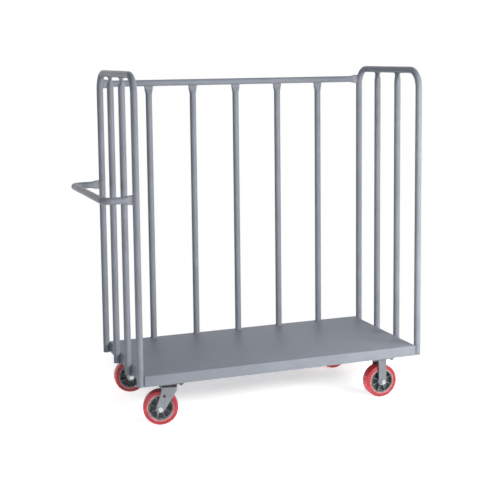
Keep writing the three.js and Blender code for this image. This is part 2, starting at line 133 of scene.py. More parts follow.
@named
class CartCasters(bpy.types.PropertyGroup):
    plate_length: size("Length of a caster's plate", 0.1143)
    plate_width: size("Width of a caster's plate", 0.1016)
    plate_gauge: size("Thickness of a caster's plate", 0.00635)
    plate_corner: size("Corner radius of a caster's plate", 0.010)
    bolt_radius: size("Radius of a caster bolt's shank", 0.00476)
    bolt_flats: size("Width across the flats of a caster bolt's head", 0.0143)
    bolt_head: size("Height of a caster bolt's head", 0.006)
    bolt_nut: size("Height of a caster bolt's nut and washer", 0.008)
    bolt_washer: size("Thickness of a caster bolt's washer", 0.0012)
    bolt_tail: size("Length of bolt that shows past its nut", 0.002)
    gap: size("Gap between the plate and the race", 0.0003)
    race_height: size("Height of the swivel race", 0.0105)
    race_radius: size("Radius of the swivel race", 0.033)
    ball: size("Radius of a swivel ball", 0.0028)
    balls: count("Balls that show in a swivel race", 26)
    crown_gauge: size("Thickness of a fork's crown", 0.006)
    crown_half: size("Half the length of a fork's crown", 0.034)
    shoulder_drop: size("Distance from the crown down to where a leg starts to taper", 0.012)
    leg_inner: size("Distance from a wheel's middle to a leg's inner face", 0.0293)
    leg_depth: size("Depth of a pressed leg", 0.008)
    leg_round: size("Radius of a pressed leg's edges", 0.0072)
    boss_radius: size("Radius of a leg's end round the axle", 0.020)
    lead: size("Distance that a swivel caster's axle trails its kingpin", 0.038)
    hole_radius: size("Radius of the hole in a fork's leg", 0.006)
    hole_rise: size("Height of that hole above the axle", 0.056)
    hole_shift: size("Distance of that hole from the axle along the leg", 0.017)
    kingpin_radius: size("Radius of the kingpin's shank", 0.007)
    kingpin_head: size("Radius of the kingpin's head", 0.012)
    kingpin_flats: size("Width across the flats of the kingpin's nut", 0.020)
    kingpin_nut: size("Height of the kingpin's nut", 0.009)


@named
class CartWheels(bpy.types.PropertyGroup):
    radius: size("Radius of a wheel", 0.0762)
    width: size("Width of a tread", 0.0508)
    tread: size("Thickness of a tread", 0.021)
    tread_round: size("Radius of a tread's shoulders", 0.007)
    core_width: size("Width of a wheel core's rim", 0.047)
    core_rim: size("Thickness of a wheel core's rim", 0.006)
    core_web: size("Thickness of a wheel core's web", 0.007)
    hub_length: size("Length of a wheel's hub", 0.058)
    hub_radius: size("Radius of a wheel's hub", 0.021)
    rib: size("Thickness of a rib at its root", 0.0042)
    rib_depth: size("Depth of the ribs, both sides together", 0.038)
    ribs: count("Ribs on each side of a wheel core", 8)
    bearing: size("Radius of a wheel's bearing", 0.015)
    roller: size("Radius of a bearing's roller", 0.0017)
    rollers: count("Rollers that show at a bearing's end", 14)
    axle: size("Radius of an axle bolt", 0.00635)
    axle_flats: size("Width across the flats of an axle bolt's head", 0.019)
    axle_head: size("Height of an axle bolt's head", 0.0075)
    axle_nut: size("Height of an axle bolt's nut", 0.008)
    facets: count("Facets round a wheel", 96)


@named
class CartFinishes(bpy.types.PropertyGroup):
    enamel: colour("Blue-grey paint of the deck and the tubes", (0.245, 0.264, 0.306))
    worn_enamel: colour("Paint that is rubbed thin along edges", (0.36, 0.38, 0.42))
    zinc: colour("Zinc plate of forks and brackets", (0.275, 0.298, 0.325))
    # painted shade: a darker copy of the zinc, for the plates, races and bolts under the deck where
    # shade falls
    dark_zinc: colour("Duller plate of the parts under the deck", (0.115, 0.125, 0.135))
    bright: colour("Polished plate of bolts and pins", (0.66, 0.68, 0.69))
    urethane: colour("Red of the treads", (0.38, 0.036, 0.050))
    # painted highlight: a pale pink standing in for the light caught by a tread's inner lip
    bond: colour("Pale bead where a tread is bonded to its core", (0.56, 0.24, 0.26))
    core: colour("Dark moulding of the wheel cores", (0.082, 0.092, 0.098))
    # painted highlight: the pale colour that the edges of the wheel cores' ribs take, standing in
    # for light on them
    worn_core: colour("Moulding where its edges are rubbed", (0.70, 0.72, 0.74))
    dust: colour("Dust that settles on level faces", (0.40, 0.41, 0.43))
    # sets both the rubbed wear on paint and plate and the strength of the painted highlight on the
    # cores' ribs
    wear: share("How far edges are rubbed", 0.35)
    dustiness: share("How much dust lies on level faces", 0.06)


@named
class CartStage(bpy.types.PropertyGroup):
    camera_x: size("Camera's place along the deck", -1.7704)
    camera_y: size("Camera's place in front of the cart", -4.7672)
    camera_z: size("Camera's height", 1.5935)
    turn: angle("Camera's turn to the right of straight on", 0.360371)
    dip: angle("Camera's tilt below level", 0.118062)
    roll: angle("Camera's roll", -0.010666)
    lens: number("Focal length in millimetres on a 36 mm sensor", 80.07)
    rise: number("Upward shift of the frame as a share of its width", -0.13)
    key_power: power("Power of the softbox at the front right", 38)
    side_power: power("Power of the softbox farther to the right", 60)
    key_tint: colour("Colour of the light from the right", (1.0, 0.97, 0.91))
    gloss_power: power("Power of the small lamp that draws highlights", 18)
    left_power: power("Power of the low softbox at the front left", 18)
    top_power: power("Power of the softbox overhead", 14)
    strip_power: power("Power of the flat lamp along the floor that reaches only the wheels", 0.9)
    strip_height: size("Height of the flat lamp", 0.08)
    strip_spread: angle("Angle over which the flat lamp's light fans out", 0.09)
    back_power: power("Power of the low softbox behind the cart", 100)
    ambient: number("Strength of the even light from all round", 0.16)
    sky_tint: colour("Colour of the overhead light and the even light", (0.82, 0.90, 1.0))
    floor_radius: size("Radius of the pale floor", 14.0)
    floor_white: share("White that the camera sees added to the floor under the cart", 0.45)
    floor_rim: share("White that the camera sees added to the floor at the cart's edge", 0.78)


# Mesh shells: points and faces that become one closed skin


def sweep(end, steps, start=0):
    """Evenly spaced angles from a start to an end, with both of them."""
    return [start + (end - start) * i / steps for i in range(steps + 1)]


def ring_about_y(radius, y, facets):
    step = FULL_TURN / facets
    return [Vector((radius * cos(i * step), y, radius * sin(i * step))) for i in range(facets)]


def skin(rings, closed=False, capped=False):
    """Quads between rings of equal count; closed joins the last ring to the first."""
    around, along = len(rings[0]), len(rings)
    points = [point for ring in rings for point in ring]
    faces = []
    for i in range(along if closed else along - 1):
        here, after = i * around, (i + 1) % along * around
        for k in range(around):
            beside = (k + 1) % around
            faces.append((here + k, here + beside, after + beside, after + k))
    if capped:
        faces += [tuple(range(around)), tuple(range(len(points) - around, len(points)))]
    return points, faces


def lathe(profile, facets, closed=False):
    """A body about Y from (radius, y) pairs, which start and end on the axis or close."""
    return skin([ring_about_y(radius, y, facets) for radius, y in profile], closed=closed)


def band(inner, outer, low, high):
    """The profile of a plain ring, or of a cylinder where inner is 0."""
    return [(inner, low), (outer, low), (outer, high), (inner, high)]


def both_sides(profile):
    """A profile with its mirror image across the plane y = 0."""
    return profile + [(radius, -y) for radius, y in reversed(profile)]


def moved(shell, matrix):
    points, faces = shell
    return [matrix @ point for point in points], faces


def mesh_of(name, shells, place=Matrix()):
    """One mesh with its normals outward, from closed shells."""
    made = bmesh.new()
    for points, faces in shells:
        verts = [made.verts.new(point) for point in points]
        for face in faces:
            made.faces.new([verts[i] for i in face])
        bmesh.ops.remove_doubles(made, verts=verts, dist=1e-7)
    bmesh.ops.recalc_face_normals(made, faces=made.faces)
    mesh = bpy.data.meshes.new(name)
    made.to_mesh(mesh)
    made.free()
    return carried(mesh, place)


def carried(mesh, place):
    mesh.transform(place)
    mesh.update()
    return mesh


def set_down(name, data):
    thing = bpy.data.objects.new(name, data)
    bpy.context.scene.collection.objects.link(thing)
    return thing


def taken_up(thing, name):
    """The plain mesh that an object's modifiers make; the object is removed."""
    bpy.context.view_layer.update()
    graph = bpy.context.evaluated_depsgraph_get()
    mesh = bpy.data.meshes.new_from_object(thing.evaluated_get(graph), depsgraph=graph)
    mesh.name = name
    bpy.data.objects.remove(thing)
    return mesh


def combined(name, first, shells, operation):
    """Joins closed shells to a mesh, or cuts them from it."""
    body = set_down(name, first)
    tools = [set_down(f"{name}_tool", mesh_of(f"{name}_tool", [shell])) for shell in shells]
    for tool in tools:
        step = body.modifiers.new("Combine", "BOOLEAN")
        step.operation = operation
        step.solver = "EXACT"
        step.object = tool
    mesh = taken_up(body, name)
    for tool in tools:
        bpy.data.objects.remove(tool)
    return mesh


def finish_piece(name, mesh, finish, nodes=(), body="chassis", slot=None, sharp_degrees=34):
    """Shades a mesh with a named finish and sets it on its CAD body."""
    mesh.materials.clear()
    mesh.materials.append(material(finish))
    for face in mesh.polygons:
        face.material_index = 0
    mesh.shade_smooth()
    mesh.set_sharp_from_angle(angle=radians(sharp_degrees))
    piece = set_down(name, mesh)
    slot or FINISHES[finish][0]
    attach(piece, body)
    if nodes:
        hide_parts(*nodes)


# Tubes


def pressed_half(tubes):
    """Half the thickness of a pressed end."""
    return tubes.wall + tubes.pinch_slit / 2


def pressed_section(radius, half, dent, facets):
    """(across, through) pairs round a tube pressed to a half-thickness, which keeps its girth."""
    spread = (radius - half) * HALF_TURN / 2
    quarter = half * QUARTER_TURN
    flat = 2 * spread
    girth = FULL_TURN * radius
    pairs = []
    for i in range(facets):
        run = girth * (i + 0.5) / facets
        side = -1 if run > girth / 2 else 1
        run = min(run, girth - run)
        if run < quarter:
            swing = run / half
            across, through = spread + half * cos(swing), half * sin(swing)
        elif run < quarter + flat:
            across = spread - (run - quarter)
            through = half - dent * (1 - (across / spread) ** 2)
        else:
            swing = QUARTER_TURN + (run - quarter - flat) / half
            across, through = half * cos(swing) - spread, half * sin(swing)
        pairs.append((across, side * through))
    return pairs


def tube_shell(stations, wide, tubes, pressed=(False, False)):
    """A hollow tube along (place, heading) stations; a pressed end spreads along "wide"."""
    radius = tubes.diameter / 2
    thin = pressed_half(tubes)
    travelled = [0]
    for (before, _), (after, _) in zip(stations, stations[1:]):
        travelled.append(travelled[-1] + (after - before).length)
    outer, inner = [], []
    for (place, heading), run in zip(stations, travelled):
        to_tip = run if pressed[0] else inf
        if pressed[1]:
            to_tip = min(to_tip, travelled[-1] - run)
        part = min(max((to_tip - tubes.pinch_flat) / (tubes.pinch_length - tubes.pinch_flat), 0), 1)
        eased = part * part * (3 - 2 * part)
        half = thin + (radius - thin) * eased
        dent = tubes.crease * sin(HALF_TURN * part) if 0 < part < 1 else 0
        through = heading.cross(wide)
        for rings, depth in ((outer, 0), (inner, tubes.wall)):
            pairs = pressed_section(radius - depth, half - depth, dent, tubes.facets)
            rings.append([place + wide * across + through * deep for across, deep in pairs])
    return skin(outer + inner[::-1], closed=True)


def straight_stations(start, end, tubes, pressed):
    length = (end - start).length
    heading = (end - start).normalized()
    reach = tubes.pinch_length - tubes.pinch_flat
    steps = [tubes.pinch_flat + reach * i / tubes.pinch_rings for i in range(tubes.pinch_rings + 1)]
    runs = [0]
    if pressed[0]:
        runs += steps
    if pressed[1]:
        runs += [length - step for step in reversed(steps)]
    return [(start + heading * run, heading) for run in runs + [length]]


def bend_stations(before, corner, after, radius, rings):
    arriving = (corner - before).normalized()
    leaving = (after - corner).normalized()
    start = corner - arriving * radius
    stations = []
    for swing in sweep(QUARTER_TURN, rings):
        place = start + arriving * radius * sin(swing) + leaving * radius * (1 - cos(swing))
        stations.append((place, arriving * cos(swing) + leaving * sin(swing)))
    return stations


def straight_tube(start, end, wide, tubes, pressed):
    return tube_shell(straight_stations(start, end, tubes, pressed), wide, tubes, pressed)


def u_tube(corners, radius, wide, tubes, pressed=False):
    """A tube through four corners with two equal bends."""
    first, second, third, last = corners
    bend_start = second + (first - second).normalized() * radius
    bend_end = third + (last - third).normalized() * radius
    stations = straight_stations(first, bend_start, tubes, (pressed, False))[:-1]
    stations += bend_stations(first, second, third, radius, tubes.bend_rings)
    stations += bend_stations(second, third, last, radius, tubes.bend_rings)
    stations += straight_stations(bend_end, last, tubes, (False, pressed))[1:]
    return tube_shell(stations, wide, tubes, (pressed, pressed))


def ends_of(node, axis=2):
    """The middles of a CAD node's two faces across an axis: foot and top, or left and right."""
    low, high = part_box(node)
    ends = [(low + high) / 2, (low + high) / 2]
    ends[0][axis], ends[1][axis] = low[axis], high[axis]
    return ends


def legs_of(node, tubes):
    """The Y of each leg of a U-shaped tube."""
    low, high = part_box(node)
    return low.y + tubes.diameter / 2, high.y - tubes.diameter / 2


def upright_bar(node, name, wide, tubes):
    foot, top = ends_of(node)
    mesh = mesh_of(name, [straight_tube(top, foot, wide, tubes, (True, False))])
    finish_piece(name, mesh, "tube_enamel", [node])


# Node trees

DROP_FACETS = {"Segments": 10, "Rings": 6}
DROP_SCALES = {"Min": (0.88, 0.88, 0.72), "Max": (1.1, 1.1, 0.86)}
CLOUD_SPAN = (0.3, 0.7)  # most of what noise gives
PATCH_SPAN = (0.38, 0.62)  # a narrower part of it, for patches with clear borders
EDGE_SPAN = (0.995, 0.85)  # from a flat face to a full edge, as a cosine
LEVEL_SPAN = (0.6, 1.0)  # from a slope to a level face, as a cosine
BROAD_SHARE = 3.0  # of the broad waves, to 1 of the fine
PATCH_SCALE, DUST_SCALE = 70.0, 14.0


def adder(tree):
    """A function that adds nodes; an input is a value, or the node or socket that feeds it."""

    def add(node_type, inputs=None, **settings):
        node = tree.nodes.new(node_type)
        for name, value in settings.items():
            setattr(node, name, value)
        for name, value in (inputs or {}).items():
            if isinstance(value, bpy.types.Node):
                value = next(socket for socket in value.outputs if socket.enabled)
            if isinstance(value, bpy.types.NodeSocket):
                tree.links.new(value, node.inputs[name])
            else:
                node.inputs[name].default_value = value
        return node

    return add


def repeated(add, given, inputs):
    """Instances on points, made real and given their finish, as a tree's output."""
    row = add("GeometryNodeInstanceOnPoints", inputs)
    real = add("GeometryNodeRealizeInstances", {"Geometry": row})
    coated = {"Geometry": real, "Material": given["Finish"]}
    return {"Geometry": add("GeometryNodeSetMaterial", coated)}


def bead_nodes(add, given):
    """A weld bead along edges: overlapping ripples, each a little different in size."""
    path = add("GeometryNodeMeshToCurve", {"Mesh": given["Geometry"]})
    spaced = {"Curve": path, "Length": given["Ripple"]}
    marks = add("GeometryNodeCurveToPoints", spaced, mode="LENGTH")
    drop = add("GeometryNodeMeshUVSphere", {**DROP_FACETS, "Radius": given["Bead"]})
    limits = {**DROP_SCALES, "Seed": given["Seed"]}
    uneven = add("FunctionNodeRandomValue", limits, data_type="FLOAT_VECTOR")
    row = {"Points": marks, "Instance": drop, "Scale": uneven}
    return repeated(add, given, {**row, "Rotation": marks.outputs["Rotation"]})


def circle_nodes(add, given):
    """A piece repeated evenly round the Y axis."""
    marks = add("GeometryNodePoints", {"Count": given["Count"]})
    step = maths(add, "DIVIDE", FULL_TURN, given["Count"])
    turn = maths(add, "MULTIPLY_ADD", add("GeometryNodeInputIndex"), step, given["First angle"])
    about_y = add("ShaderNodeCombineXYZ", {"Y": turn})
    row = {"Points": marks, "Instance": given["Geometry"], "Rotation": about_y}
    return repeated(add, given, row)


def fastener_nodes(add, given):
    """A fastener repeated at each point of a mesh, each turned its own way."""
    source = add("GeometryNodeObjectInfo", {"Object": given["Fastener"]}).outputs["Geometry"]
    limits = {"Max": (0, 0, FULL_TURN), "Seed": given["Seed"]}
    turn = add("FunctionNodeRandomValue", limits, data_type="FLOAT_VECTOR")
    return repeated(add, given, {"Points": given["Geometry"], "Instance": source, "Rotation": turn})


def maths(add, operation, *values):
    return add("ShaderNodeMath", dict(enumerate(values)), operation=operation)


def ranged(add, value, low, high, to=(0, 1), **settings):
    inputs = {"Value": value, "From Min": low, "From Max": high, "To Min": to[0], "To Max": to[1]}
    return add("ShaderNodeMapRange", inputs, **settings)


def blended(add, factor, first, second):
    return add("ShaderNodeMix", {"Factor": factor, "A": first, "B": second}, data_type="RGBA")


def noise(add, scale, detail, **inputs):
    """Noise in the piece's own space."""
    where = add("ShaderNodeTexCoord").outputs["Object"]
    return add("ShaderNodeTexNoise", {"Vector": where, "Scale": scale, "Detail": detail, **inputs})


def plain_normal(add):
    return add("ShaderNodeNewGeometry").outputs["Normal"]


def mottle_nodes(add, given):
    """Cloudy lightness and uneven gloss, as in sprayed or plated surfaces."""
    cloud = noise(add, given["Cloud scale"], 5.0, Roughness=0.62)
    shades = [maths(add, operation, 1, given["Cloud depth"]) for operation in ("SUBTRACT", "ADD")]
    shaded = {"Vector": given["Colour"], "Scale": ranged(add, cloud, *CLOUD_SPAN, shades)}
    tint = add("ShaderNodeVectorMath", shaded, operation="SCALE")
    gloss = (given["Low roughness"], given["High roughness"])
    return {"Colour": tint, "Roughness": ranged(add, cloud, *CLOUD_SPAN, gloss)}


def peel_nodes(add, given):
    """Small waves in a coat of paint, plate or plastic, as a normal."""
    fine, broad = noise(add, given["Fine scale"], 2.0), noise(add, given["Broad scale"], 1.0)
    height = maths(add, "MULTIPLY_ADD", broad, BROAD_SHARE, fine)
    waves = {"Height": height, "Strength": given["Strength"], "Distance": given["Depth"]}
    return {"Normal": add("ShaderNodeBump", waves)}


def worn_and_highlighted_edge_nodes(add, given):
    """Edges turned to another colour in patches: rubbed wear, and a painted highlight on the cores'
    ribs.
    """
    rounded = add("ShaderNodeBevel", {"Radius": given["Edge"]}, samples=4)
    meet = add("ShaderNodeVectorMath", {0: rounded, 1: plain_normal(add)}, operation="DOT_PRODUCT")
    patches = ranged(add, noise(add, PATCH_SCALE, 4.0), *PATCH_SPAN)
    edge = maths(add, "MULTIPLY", ranged(add, meet, *EDGE_SPAN), patches)
    mask = maths(add, "MULTIPLY", edge, given["Amount"])
    return {"Colour": blended(add, mask, given["Colour"], given["Worn and highlight colour"])}


def dust_nodes(add, given):
    """A thin film of dust on level faces."""
    up = add("ShaderNodeSeparateXYZ", {"Vector": plain_normal(add)}).outputs["Z"]
    lying = maths(add, "MULTIPLY", ranged(add, up, *LEVEL_SPAN), noise(add, DUST_SCALE, 6.0))
    film = maths(add, "MULTIPLY", lying, given["Amount"])
    return {"Colour": blended(add, film, given["Colour"], given["Dust colour"])}


# Each tree: what fills it, its inputs by default or by type, and its outputs by type
GREY = (0.5, 0.5, 0.5, 1)
MESH, FINISH, COAT = {"Geometry": "Geometry"}, {"Finish": "Material"}, {"Colour": "Color"}
TREES = {
    "Weld bead": (
        bead_nodes,
        {**MESH, "Bead": 0.0026, "Ripple": 0.0024, "Seed": 7, **FINISH},
        MESH,
    ),
    "Repeat round an axis": (
        circle_nodes,
        {**MESH, "Count": 8, "First angle": 0.0, **FINISH},
        MESH,
    ),
    "Fasteners on points": (
        fastener_nodes,
        {**MESH, "Fastener": "Object", "Seed": 3, **FINISH},
        MESH,
    ),
    "Mottle": (
        mottle_nodes,
        {
            "Colour": GREY,
            "Cloud scale": 9.0,
            "Cloud depth": 0.08,
            "Low roughness": 0.35,
            "High roughness": 0.5,
        },
        {"Colour": "Color", "Roughness": "Float"},
    ),
    "Peel": (
        peel_nodes,
        {"Fine scale": 420.0, "Broad scale": 24.0, "Strength": 0.2, "Depth": 0.0004},
        {"Normal": "Vector"},
    ),
    # worn edges on paint and plate, and the painted highlight on the cores' ribs
    "Worn and highlighted edges": (
        worn_and_highlighted_edge_nodes,
        {"Colour": GREY, "Worn and highlight colour": GREY, "Edge": 0.0012, "Amount": 0.4},
        COAT,
    ),
    "Dust": (dust_nodes, {"Colour": GREY, "Dust colour": GREY, "Amount": 0.1}, COAT),
}
SOCKETS = {float: "Float", int: "Int", tuple: "Color"}


def shared(name):
    """A node tree from its row of the table, made once."""
    if name in bpy.data.node_groups:
        return bpy.data.node_groups[name]
    fill, inputs, outputs = TREES[name]
    tree_type = "GeometryNodeTree" if outputs is MESH else "ShaderNodeTree"
    tree = bpy.data.node_groups.new(name, tree_type)
    for label, given in inputs.items():
        socket = given if isinstance(given, str) else SOCKETS[type(given)]
        made = tree.interface.new_socket(label, in_out="INPUT", socket_type=f"NodeSocket{socket}")
        if socket is not given:
            made.default_value = given
    for label, socket in outputs.items():
        tree.interface.new_socket(label, in_out="OUTPUT", socket_type=f"NodeSocket{socket}")
    add = adder(tree)
    add("NodeGroupOutput", fill(add, add("NodeGroupInput").outputs))
    return tree


def grown(name, mesh, tree_name, settings, finish):
    """The mesh that a node tree grows from another, with its inputs set by identifier."""
    host = set_down(name, mesh)
    grow = host.modifiers.new("Grow", "NODES")
    grow.node_group = shared(tree_name)
    items = grow.node_group.interface.items_tree
    sockets = {item.name: item.identifier for item in items if item.in_out == "INPUT"}
    for label, value in {**settings, "Finish": material(finish)}.items():
        grow[sockets[label]] = value
    return taken_up(host, name)


def ring_of(name, shells, finish, repeats, first_angle=0.0):
    """Pieces repeated evenly round the Y axis."""
    settings = {"Count": repeats, "First angle": first_angle}
    return grown(name, mesh_of(name, shells), "Repeat round an axis", settings, finish)


# Finishes, by name: the slot, the colour, (scale and depth of the clouds, least and greatest
# roughness), (fine and broad scale, strength and depth of the peel), (edge colour, edge, share:
# rubbed wear on paint and plate, a painted highlight on the cores' ribs), and the surface
ENAMEL = (340.0, 16.0, 0.22, 0.0004), ("worn_enamel", 0.0014, 1), {"Specular IOR Level": 0.15}
ZINC = (55.0, 0.1, 0.28, 0.46), (900.0, 90.0, 0.18, 0.0002), ("bright", 0.001, 1), {"Metallic": 0.8}
BRIGHT = (120.0, 0.06, 0.16, 0.3), (1500.0, 200.0, 0.12, 0.0001), None, {"Metallic": 1}
GEL = {"Subsurface Weight": 0.6, "Subsurface Radius": (1.0, 0.12, 0.08), "Subsurface Scale": 0.025}
URETHANE = (38.0, 0.12, 0.26, 0.44), (700.0, 60.0, 0.16, 0.0003), None, GEL
# painted highlight: the pale bead at a tread's inner lip
LIP_HIGHLIGHT = (80.0, 0.2, 0.4, 0.6), (600.0, 90.0, 0.3, 0.0003), None, {"Specular IOR Level": 0.4}
# the moulding's edges take a strong, wide painted highlight, standing in for light on the ribs
MOULDING = (60.0, 0.15, 0.4, 0.6), (1200.0, 120.0, 0.25, 0.0002), ("worn_core", 0.0036, 2.6), {}
FINISHES = {
    "tube_enamel": ("painted_steel", "enamel", (7.0, 0.09, 0.26, 0.38), *ENAMEL),
    "deck_enamel": ("painted_steel", "enamel", (7.0, 0.09, 0.44, 0.56), *ENAMEL),
    "zinc_plate": ("zinc_steel", "zinc", *ZINC),
    # painted shade: zinc plate darkened for the parts that sit in the shade under the deck
    "shade_darkened_plate": ("zinc_steel", "dark_zinc", *ZINC),
    "bright_plate": ("bright_steel", "bright", *BRIGHT),
    "red_urethane": ("polyurethane", "urethane", *URETHANE),
    # painted highlight at a tread's inner lip
    "lip_highlight_bead": ("polyurethane", "bond", *LIP_HIGHLIGHT),
    "dark_moulding": ("moulded_core", "core", *MOULDING),
}


def material(name):
    """A finish from its row of the table, made once."""
    if name in bpy.data.materials:
        return bpy.data.materials[name]
    looks = bpy.context.scene.cart_finishes
    made, add = blank(bpy.data.materials.new(name))
    _, shade, clouds, peel, edge_tint, surface = FINISHES[name]

    def placed(group, *values):
        return add("ShaderNodeGroup", dict(enumerate(values)), node_tree=shared(group))

    coat = mottle = placed("Mottle", solid(getattr(looks, shade)), *clouds)
    # edges turn to another colour: rubbed wear on paint and plate, a painted highlight on the
    # cores' ribs
    if edge_tint:
        edge_colour, edge, wear = edge_tint
        amount = min(looks.wear * wear, 1)
        coat = placed("Worn and highlighted edges", coat, solid(getattr(looks, edge_colour)), edge, amount)
    if shade == "enamel":
        coat = placed("Dust", coat, solid(looks.dust), looks.dustiness)
    rough, normal = mottle.outputs["Roughness"], placed("Peel", *peel)
    fed = {"Base Color": coat, "Roughness": rough, "Normal": normal}
    shader = add("ShaderNodeBsdfPrincipled", {**surface, **fed})
    add("ShaderNodeOutputMaterial", {"Surface": shader})
    return made


def blank(holder):
    """A material or world with an empty node tree, and a function that adds nodes to it."""
    holder.use_nodes = True
    holder.node_tree.nodes.clear()
    return holder, adder(holder.node_tree)


def solid(shade):
    return (*shade, 1)


# Sheet metal


def pan_mesh(sheet):
    """A folded pan, open below, with welded corners ground round."""
    low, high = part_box("deck_pan")
    made = bmesh.new()
    bmesh.ops.create_cube(made, size=1)
    for vert in made.verts:
        vert.co = [high[axis] if vert.co[axis] > 0 else low[axis] for axis in range(3)]
    middle = (low.z + high.z) / 2
    below = [face for face in made.faces if all(vert.co.z < middle for vert in face.verts)]
    bmesh.ops.delete(made, geom=below, context="FACES_ONLY")
    folds = [edge for edge in made.edges if not edge.is_boundary]
    rounding = {"offset": sheet.fold, "segments": sheet.fold_rings, "profile": 0.5}
    bmesh.ops.bevel(made, geom=folds, affect="EDGES", **rounding)
    mesh = bpy.data.meshes.new("deck_sheet")
    made.to_mesh(mesh)
    made.free()
    body = set_down("deck_sheet", mesh)
    wall = body.modifiers.new("Gauge", "SOLIDIFY")
    wall.thickness = sheet.gauge
    wall.offset = -1
    wall.use_even_offset = True
    return taken_up(body, "deck_sheet")


def bent_strip(corners, radius, gauge, steps):
    """The outline of a bent sheet, from the corners of its middle line."""
    line = [(corners[0], (corners[1] - corners[0]).normalized())]
    for before, corner, after in zip(corners, corners[1:], corners[2:]):
        arriving = (corner - before).normalized()
        turn = arriving.angle_signed((after - corner).normalized())
        start = corner - arriving * radius * tan(abs(turn) / 2)
        side = Vector((-arriving.y, arriving.x)) * (-1 if turn > 0 else 1)
        centre = start + side * radius
        for i in range(steps + 1):
            swing = Matrix.Rotation(-turn * i / steps, 2)
            line.append((centre + swing @ (start - centre), swing @ arriving))
    line.append((corners[-1], (corners[-1] - corners[-2]).normalized()))
    upper = [place + Vector((-run.y, run.x)) * gauge / 2 for place, run in line]
    lower = [place - Vector((-run.y, run.x)) * gauge / 2 for place, run in line]
    return upper + lower[::-1]


def channel_shell(node, sheet):
    """A hat channel across the deck, in the place of its CAD node."""
    low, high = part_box(node)
    middle_x, half = (low.x + high.x) / 2, (high.x - low.x) / 2
    edge = sheet.channel_gauge / 2
    wall = half - sheet.channel_foot - edge
    foot, base = high.z - edge, low.z + edge
    side = [(-half, foot), (-wall, foot), (-wall, base)]
    corners = [Vector(corner) for corner in side + [(-x, z) for x, z in reversed(side)]]
    outline = bent_strip(corners, sheet.channel_bend, sheet.channel_gauge, sheet.bend_rings)
    ends = [[Vector((middle_x + x, y, z)) for x, z in outline] for y in (low.y, high.y)]
    return skin(ends, capped=True)


# Pressed and turned caster pieces, about the middle of the plate's top face

BORE_GAP = 0.0002  # between a pin and its hole
FIT_GAP = 0.0003  # between pieces that fit together
OVERLAP = 0.001  # by which a shank runs into its head
THROUGH = 0.02  # more than the thickness of any plate
SINK_DEPTH = 0.0033  # of the kingpin's head in the plate
BALL_INSET = 0.0012  # of the balls behind the race's edge
GROOVE_RISE = 0.0051  # of the balls' middles above the crown
TREAD_CROWN = 0.0003  # by which a tread is higher in its middle than at its shoulders
SLEEVE_WALL = 0.0022  # of a bearing's sleeve
CASE_WALL = 0.0018  # of a bearing's housing
WASHER_REACH = 1.9  # of a bolt's washer, in radii of the bolt
BOSS_STEPS = 18
SIXTH_TURN = radians(60)
BEVEL_ANGLE = radians(30)


def arc(x, z, radius, start, end, steps):
    """Points along part of a circle, from one angle to another."""
    turns = sweep(end, steps, start)
    return [Vector((x + radius * cos(turn), z + radius * sin(turn))) for turn in turns]


def rounded_rectangle(length, width, radius, steps=6):
    x, y = length / 2 - radius, width / 2 - radius
    outline = []
    for i, (corner_x, corner_y) in enumerate([(x, y), (-x, y), (-x, -y), (x, -y)]):
        outline += arc(corner_x, corner_y, radius, i * QUARTER_TURN, (i + 1) * QUARTER_TURN, steps)
    return outline


def inset(outline, distance):
    """A convex outline moved inward by a distance; its points run counter-clockwise."""
    moved_in = []
    for before, here, after in zip(outline[-1:] + outline[:-1], outline, outline[1:] + outline[:1]):
        arriving = (here - before).normalized()
        leaving = (after - here).normalized()
        first = Vector((-arriving.y, arriving.x))
        second = Vector((-leaving.y, leaving.x))
        moved_in.append(here + (first + second) * distance / (1 + first.dot(second)))
    return moved_in


def slab_shell(outline, near, far, rounding, lift, steps=5):
    """An outline thickened from near to far, with the far face's edges rounded."""
    side = 1 if far > near else -1
    levels = [(near, 0)]
    for swing in sweep(QUARTER_TURN, steps):
        levels.append((far - side * rounding * (1 - sin(swing)), rounding * (1 - cos(swing))))
    rings = [[lift(point, depth) for point in inset(outline, back)] for depth, back in levels]
    return skin(rings, capped=True)


def upright(point, depth):
    return Vector((point.x, depth, point.y))


def level(point, depth):
    return Vector((point.x, point.y, depth))


def hex_shell(flats, low, high, facets=36):
    """A hexagonal head or nut along Y, its corners chamfered at both ends."""
    inner = flats / 2
    swings = [FULL_TURN * i / facets for i in range(facets)]
    outer = [inner / cos((a + BEVEL_ANGLE) % SIXTH_TURN - BEVEL_ANGLE) for a in swings]

    def chamfer(end, side):
        drops = [side * (radius - inner) * tan(BEVEL_ANGLE) for radius in outer]
        return [Vector((r * cos(a), end + d, r * sin(a))) for r, a, d in zip(outer, swings, drops)]

    lower = [ring_about_y(0, low, facets), ring_about_y(inner, low, facets), chamfer(low, 1)]
    upper = [chamfer(high, -1), ring_about_y(inner, high, facets), ring_about_y(0, high, facets)]
    return skin(lower + upper)


def threaded_shell(radius, low, high, facets=20, pitch=0.0014):
    """A shank along Y with shallow thread ridges."""
    end, root, lead_in = radius * 0.82, radius * 0.88, 0.0001
    turns = max(2, round((high - low) / pitch))
    profile = [(0, low), (end, low)]
    for i in range(turns):
        start = low + (high - low) * i / turns
        profile += [(root, start + lead_in), (radius, start + (high - low) * 0.5 / turns)]
    return lathe(profile + [(end, high), (0, high)], facets)


def crown_top(casters):
    return -casters.plate_gauge - casters.gap - casters.race_height


def axle_height(casters):
    """Height of the axle from the plate's top face."""
    return bpy.context.scene.cart_wheels.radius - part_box("front_right_bracket")[1].z


def leg_shells(outline, casters):
    """A pressed leg on each side of the wheel."""
    inner, soft = casters.leg_inner, casters.leg_round
    outer = inner + casters.leg_depth
    return [slab_shell(outline, side * inner, side * outer, soft, upright) for side in (1, -1)]


